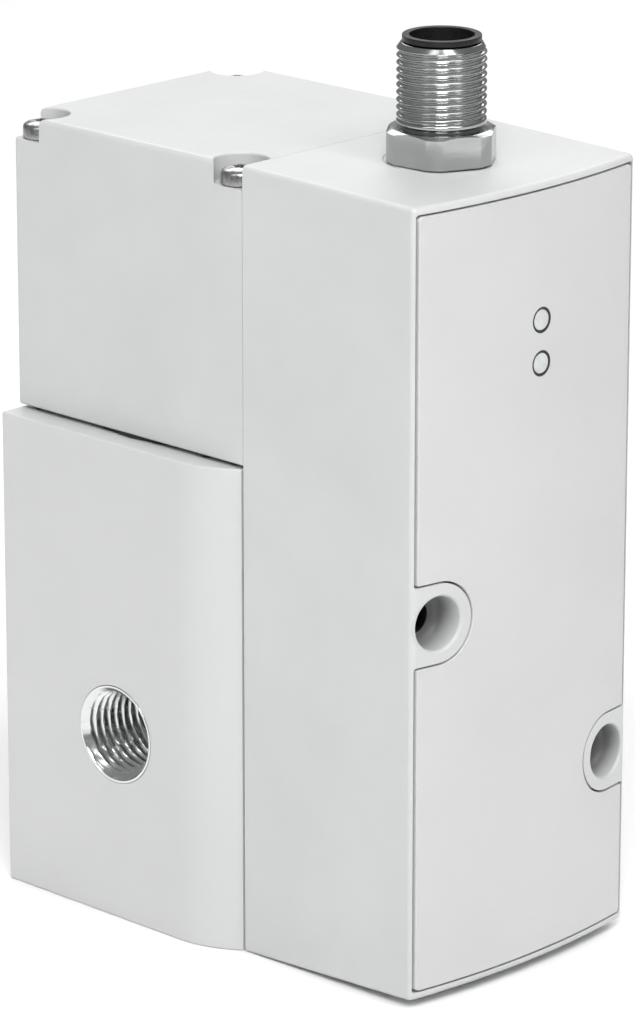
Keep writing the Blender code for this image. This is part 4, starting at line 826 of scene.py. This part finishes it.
def make_plug_insert():
    """The black insert: a cup whose collar stands above the sleeve, with a key rib down its mouth."""
    profile = eased([(0.01, 6.0), (4.3, 6.0), (4.3, 16.66), (5.27, 16.66), (5.27, 15.85), (4.75, 15.85),
                     (4.75, -8.5), (0.01, -8.5)], 0.16)

    def with_key(radius, height, angle):
        """The rib stands 0.6 mm out of the mouth's wall over a narrow band of angles at the front."""
        away = np.abs(np.mod(angle - 1.5 * math.pi + math.pi, 2 * math.pi) - math.pi)
        band = np.clip((0.14 - away) / 0.03, 0, 1)
        on_wall = (radius > 4.1) & (radius < 4.5) & (height > 5.9) & (height < 16.0)
        return radius - 0.6 * band * on_wall

    dense = np.concatenate([profile[:8], np.linspace(profile[7], profile[8], 24)[1:-1], profile[8:]])
    insert = turned("plug_insert", dense, (0, PLUG_Y, TOP), UPWARDS, 160, with_key)
    holes = [drill(f"hole_{n}", 0.6, -12, 8, (x, PLUG_Y + y, TOP), around=20)
             for n, (x, y) in enumerate(pins())]
    smooth(carve(insert, holes), 40)
    settle_in(insert, BLACK, "connector_insert")
    for number, (x, y) in enumerate(pins(), 1):
        angle = np.linspace(0, math.pi / 2, 6)
        tip = np.stack([0.5 * np.sin(angle), 13.6 + 0.4 * np.cos(angle)], -1)
        pin = turned(f"plug_pin_{number}", np.concatenate([tip, [(0.5, -11.4), (0.4, -11.5), (0, -11.5)]]),
                     (x, PLUG_Y + y, TOP), UPWARDS, 24)
        settle_in(smooth(pin), GOLD, f"contact_pin_{number}")


def pins():
    """One pin in the middle and four on a circle."""
    angle = np.radians([45, 135, 225, 315])
    return np.concatenate([[[0, 0]], 2.25 * np.stack([np.cos(angle), np.sin(angle)], -1)])


# Rear blocks


def block_plan():
    """The valve block seen from above: flat sides that bend in towards the seam, nearly sharp at the rear."""
    bend, bend_y, past_seam, half, edge = 14.2, 9.5, 1.5, BLOCK_HALF, 0.4
    turn = math.degrees(math.asin((bend_y + past_seam) / bend))
    return arcs(
        (half - bend, bend_y, bend, -turn, 0, 28),
        (half - edge, BLOCK_DEPTH - edge, edge, 0, 90, 4),
        (-half + edge, BLOCK_DEPTH - edge, edge, 90, 180, 4),
        (-half + bend, bend_y, bend, 180, 180 + turn, 28),
    )


def make_valve_block():
    """The lower block, less its stack of round chambers, both ports, the mounting bores and screw holes."""
    block = skin("valve_block", stack(block_plan(), rounded_sides(0, BLOCK_TOP, 0.35, 0.35)))
    axis = (0, VALVE_Y, 0)
    cutters = [
        slab("front_of_seam", (-30, -9, -5), (30, FRONT_OF_VALVE_BLOCK, 80)),
        drill("plug_bore", 10.0, -2, 13.15, axis, around=96),
        drill("lower_chamber", 9.0, 11, 34.0, axis, around=64),
        drill("upper_chamber", 7.0, 32, 56.0, axis, around=64),
        drill("stem_bore", 3.05, 54, 62, axis, around=32),
        drill("control_chamber", DIAPHRAGM_CHAMBER, 60.0, 72, axis, around=96),
    ]
    for name, _, facing, z, deep in PORTS:
        cutters.append(drill(name + "_pocket", 7.0, 12.7, 28, (0, VALVE_Y, z), facing, 96))
        cutters.append(drill(name + "_passage", 4.5, deep, 14, (0, VALVE_Y, z), facing, 48))
    for number, (x, z) in enumerate(BOSS_BORES):
        cutters.append(drill(f"through_{number}", THROUGH_BORE, -48, 6, (x, 0, z), TO_FRONT, 48))
    for number, (x, y) in enumerate(cap_screw_places()):
        cutters.append(drill(f"tapped_{number}", SCREW_HOLE, 57.8, 75, (x, y, 0), around=24))
    for number, side in enumerate((-1, 1)):
        place = (side * FRONT_SCREW_X, 0, LOWER_SCREW_Z)
        cutters.append(drill(f"front_tapped_{number}", SCREW_HOLE, -8, 6, place, TO_FRONT, 24))
    cutters.append(drill("sense_bore", 1.0, -18, 6, (0, 0, SENSOR_Z), TO_FRONT, 16))
    cutters.append(drill("sensor_seal_pocket", 2.15, -1.1, 4, (0, 0, SENSOR_Z), TO_FRONT, 32))
    soften(carve(block, cutters), seam=FRONT_OF_VALVE_BLOCK)
    settle_in(block, BLOCK_PAINT, "valve_body")


def cap_screw_places():
    """The four cap screws in X and Y, one by each corner of the cap."""
    return [(side * 18.8, y) for y in (2.9, BLOCK_DEPTH - 2.9) for side in (-1, 1)]


def cap_plan():
    """The pilot cap seen from above, past the seam in front, where it is cut."""
    edge, half = 0.8, CAP_HALF
    return arcs(
        (half - edge, -4, edge, -90, 0, 4),
        (half - edge, BLOCK_DEPTH - edge, edge, 0, 90, 3),
        (-half + edge, BLOCK_DEPTH - edge, edge, 90, 180, 3),
        (-half + edge, -4, edge, 180, 270, 4),
    )


def notch(name, x, y):
    """The open corner for a screw's head: round at the screw, square out to the block's corner. Its upper
    edge flares in a quarter circle that stops before it lies flat and runs on straight."""
    side, back = math.copysign(1, x), math.copysign(1, y - VALVE_Y)
    angle = np.radians(np.linspace(90, 360, 49))
    unit = np.concatenate([np.stack([np.cos(angle), np.sin(angle)], -1), [[1.0, 1.0]]]) * (side, back)
    rounding = 0.35
    a = np.radians(np.linspace(0, FLARE_STOP, 7))
    flare = np.stack([-rounding * (1 - np.cos(a)), TOP - rounding * (1 - np.sin(a))], -1)
    onwards = flare[-1] + FLARE_RUN * rounding * np.array([-1.0, math.tan(math.radians(90 - FLARE_STOP))])
    profile = np.concatenate([[[0, TOP - 3.4]], flare, [onwards, [onwards[0], TOP + 4]]])
    return skin(name, stack(((x, y) + 3.7 * unit, unit), profile))


def make_cap_block():
    """The upper block, less the pilot chamber, the cavity for the two pilot valves and its screw places."""
    block = skin("cap_block", stack(cap_plan(), rounded_sides(CAP_BOTTOM, TOP, 0.3, 0.8, 3)))
    cutters = [
        slab("front_of_seam", (-30, -9, 60), (30, FRONT_OF_CAP, 120)),
        drill("pilot_chamber", DIAPHRAGM_CHAMBER, 60, 75, (0, VALVE_Y, 0), around=96),
        slab("valve_cavity", (-14, -7, 82), (14, 33, 106.5)),
    ]
    for number, (x, y) in enumerate(cap_screw_places()):
        cutters.append(notch(f"notch_{number}", x, y))
        cutters.append(drill(f"hole_{number}", SCREW_HOLE, 60, TOP - 1, (x, y, 0), around=24))
    for number, side in enumerate((-1, 1)):
        cutters.append(drill(f"nozzle_{number}", 1.9, 73, 84, (side * 7.0, 20.0, 0), around=24))
        place = (side * FRONT_SCREW_X, 0, UPPER_SCREW_Z)
        cutters.append(drill(f"upper_tapped_{number}", SCREW_HOLE, -8, 7, place, TO_FRONT, 24))
    soften(carve(block, cutters), 0.12, FRONT_OF_CAP, below=109.9)
    settle_in(block, HOUSING_GREY, "pilot_cap")


def six_lobed(angle, outer, inner):
    """Radius of a six-lobed screw recess at each angle: a rounded cosine between two radii."""
    wave = np.cos(6 * angle)
    return (outer + inner) / 2 + (outer - inner) / 2 * np.sign(wave) * np.abs(wave) ** 0.7


def make_cap_screws():
    """Pan heads with a six-lobed recess, each one grid from the recess's floor, over the dome, down to the
    shank's end."""
    around, head_radius, shank_radius, shank_end = 144, 2.75, 1.5, -49.5
    angle = np.linspace(0, 2 * math.pi, around, endpoint=False)
    for number, (x, y) in enumerate(cap_screw_places(), 1):
        spin = angle + number * 1.1
        lobes = six_lobed(spin, 1.18, 0.84)
        t = np.linspace(0, 1, 16)
        top = 1.45 + 0.85 * np.sqrt(np.clip(1 - (0.42 + 0.58 * t) ** 2.6, 0, 1))
        radius = lobes[None, :] * (1 - t[:, None]) + head_radius * t[:, None]
        dome = np.stack([radius, np.broadcast_to(top[:, None], radius.shape)], -1)
        recess = np.stack([np.stack([np.full(around, 0.02), np.full(around, 0.9)], -1),
                           np.stack([lobes * 0.9, np.full(around, 1.0)], -1),
                           np.stack([lobes * 0.97, np.full(around, top[0] - 0.1)], -1)])
        side = np.array([(head_radius, 0.12), (head_radius - 0.12, 0.0), (shank_radius, 0.0),
                         (shank_radius, shank_end + 0.3), (1.3, shank_end), (0.02, shank_end)])
        lower = np.broadcast_to(side[:, None, :], (len(side), around, 2))
        grid = np.concatenate([recess, dome, lower])
        rings = np.stack([grid[..., 0] * np.cos(angle), grid[..., 0] * np.sin(angle), grid[..., 1]], -1)
        screw = skin(f"cap_head_screw_{number}", rings + (x, y, TOP - 3.3))
        settle_in(smooth(screw, 32), STEEL, f"cap_screw_{number}")


# Ports and bottom plug


def make_port_inserts():
    """Metal inserts with a helical pipe thread that runs out into a lead-in chamfer: each point of the bore
    lies at the thread's radius or at the chamfer's, whichever is wider."""
    minor = 5.72
    rows = np.linspace(-11.4, -0.04, 150)
    bore = np.stack([np.full_like(rows, minor), rows], axis=-1)
    rim = eased([(6.66, 0.0), (6.95, 0.0), (6.95, -5.0)], 0.06)
    outside = [(6.55, -5.0), (6.55, -7.0), (6.95, -7.0), (6.95, -12.0), (6.3, -12.0)]
    profile = np.concatenate([bore, rim, outside])
    helix = thread(minor, 0.8, 1.337, -11.6, 2.0, inwards=True)

    def cut(radius, height, angle):
        """The thread's radius or the chamfer's in the bore, and the profile's own elsewhere."""
        in_bore = (radius < 5.8) & (height > -11.5)
        return np.where(in_bore, np.maximum(helix(radius, height, angle), 6.66 + height), radius)

    for name, side, facing, z, _ in PORTS:
        place = (side * BLOCK_HALF, VALVE_Y, z)
        insert = turned(f"{name}_thread_insert", profile, place, facing, 160, cut, joined=True)
        settle_in(smooth(insert, 35), BRIGHT_NICKEL, f"{name}_port_insert")


def make_exhaust_plug():
    """The plug under the valve: threaded exhaust bore, two blind spanner holes, grooves for its seals."""
    minor = 4.3
    rows = np.linspace(0.9, 6.9, 90)
    bore = np.stack([np.full_like(rows, minor), rows], axis=-1)
    inner = [(minor, 7.5), (2.6, 7.5), (2.6, 9.65), (3.6, 9.65), (3.6, 10.85), (2.6, 10.85), (2.6, 13.0)]
    outer = [(9.85, 13.0), (9.85, 11.4), (8.25, 11.4), (8.25, 9.6), (9.85, 9.6), (9.85, 0.55), (9.7, 0.4),
             (4.75, 0.4), (4.31, 0.85)]
    profile = np.concatenate([bore, inner, outer])
    plug = turned("exhaust_plug", profile, (0, VALVE_Y, 0), UPWARDS, 144,
                  thread(minor, 0.45, 0.907, 0.8, 7.2, inwards=True), joined=True)
    holes = [drill(f"spanner_{n}", 0.9, -2, 2.4, (side * 7.1, VALVE_Y, 0), around=32)
             for n, side in enumerate((-1, 1))]
    smooth(carve(plug, holes), 35)
    settle_in(plug, BRASS, "bottom_plug")


def dress_inner_nodes():
    """Pieces that stay as they were packed take a finish for what they are made of."""
    finishes = {
        RUBBER: ("sensor_seal", "connector_seal", "poppet_seal", "plug_seal", "stem_seal", "diaphragm",
                 "channel_seal"),
        NICKEL: ("connector_nut",),
        BRASS: ("valve_seat", "poppet", "piston", "fill_nozzle", "vent_nozzle"),
        STEEL: ("board_screw_1", "board_screw_2", "housing_screw_1", "housing_screw_2", "housing_screw_3",
                "housing_screw_4", "poppet_spring", "diaphragm_plate", "fill_armature", "vent_armature",
                "fill_spring", "vent_spring"),
        BLACK: ("pressure_sensor", "fill_coil", "vent_coil"),
        LAMP: ("lamp_power", "lamp_error"),
        BOARD: ("circuit_board",),
    }
    for finish, names in finishes.items():
        for name in names:
            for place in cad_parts[name].material_slots:
                place.material = finish


# Studio


def make_studio():
    """A pale paper floor, even light from all round, and four soft boxes, all in metres and watts."""
    floor_mesh = bpy.data.meshes.new("studio_floor")
    half = 6.0
    corners = [(-half, -half, 0), (half, -half, 0), (half, half, 0), (-half, half, 0)]
    floor_mesh.from_pydata(corners, [], [(0, 1, 2, 3)])
    floor = bpy.data.objects.new("studio_floor", floor_mesh)
    bpy.context.scene.collection.objects.link(floor)
    paper, tree, shader, where = new_finish("studio paper", (0.93, 0.93, 0.93), 0.9)
    relief(tree, shader, (noise(tree, where, 500, 2), 0.00001))
    shader.inputs["Specular IOR Level"].default_value = 0.1
    floor_mesh.materials.append(paper)
    world = bpy.data.worlds.new("studio light")
    world.use_nodes = True
    world.node_tree.nodes["Background"].inputs["Color"].default_value = (1, 1, 1, 1)
    world.node_tree.nodes["Background"].inputs["Strength"].default_value = 0.25
    bpy.context.scene.world = world
    bpy.context.scene.view_settings.view_transform = "Standard"
    lamps = (
        ("back softbox", (0.75, 0.70, 0.90), 1.2, 0.6, 7.4),
        ("key softbox", (-0.62, -0.60, 0.95), 0.5, 0.5, 11.0),
        ("front softbox", (0.05, -0.65, 1.0), 0.22, 1.25, 4.4),
        ("left softbox", (-0.65, 0.05, 1.0), 0.22, 1.25, 2.0),
    )
    aim = Vector((0, 0, 0.06))
    for name, place, width, height, watts in lamps:
        light = bpy.data.lights.new(name, "AREA")
        light.shape = "RECTANGLE"
        light.size = width
        light.size_y = height
        light.energy = watts
        lamp = bpy.data.objects.new(name, light)
        lamp.location = place
        lamp.rotation_euler = (aim - Vector(place)).to_track_quat("-Z", "Y").to_euler()
        bpy.context.scene.collection.objects.link(lamp)


def make_camera():
    """The photograph's viewpoint: left and in front of the regulator, above it, with a long lens."""
    lens = bpy.data.cameras.new("camera")
    lens.sensor_width = 36
    lens.lens = 192.0
    lens.clip_end = 30
    camera = bpy.data.objects.new("camera", lens)
    yaw, pitch = math.radians(45.877), math.radians(-17.198)
    camera.location = Vector((-515.9, -493.2, 279.3)) * MM + Vector((0, SEAM_SHIFT, 0))
    ahead = Vector((math.sin(yaw) * math.cos(pitch), math.cos(yaw) * math.cos(pitch), math.sin(pitch)))
    camera.rotation_euler = ahead.to_track_quat("-Z", "Y").to_euler()
    bpy.context.scene.collection.objects.link(camera)
    bpy.context.scene.camera = camera


make_housing()
make_cover()
make_light_pipes()
make_plug_sleeve()
make_plug_insert()
make_valve_block()
make_cap_block()
make_cap_screws()
make_port_inserts()
make_exhaust_plug()
dress_inner_nodes()
make_studio()
make_camera()
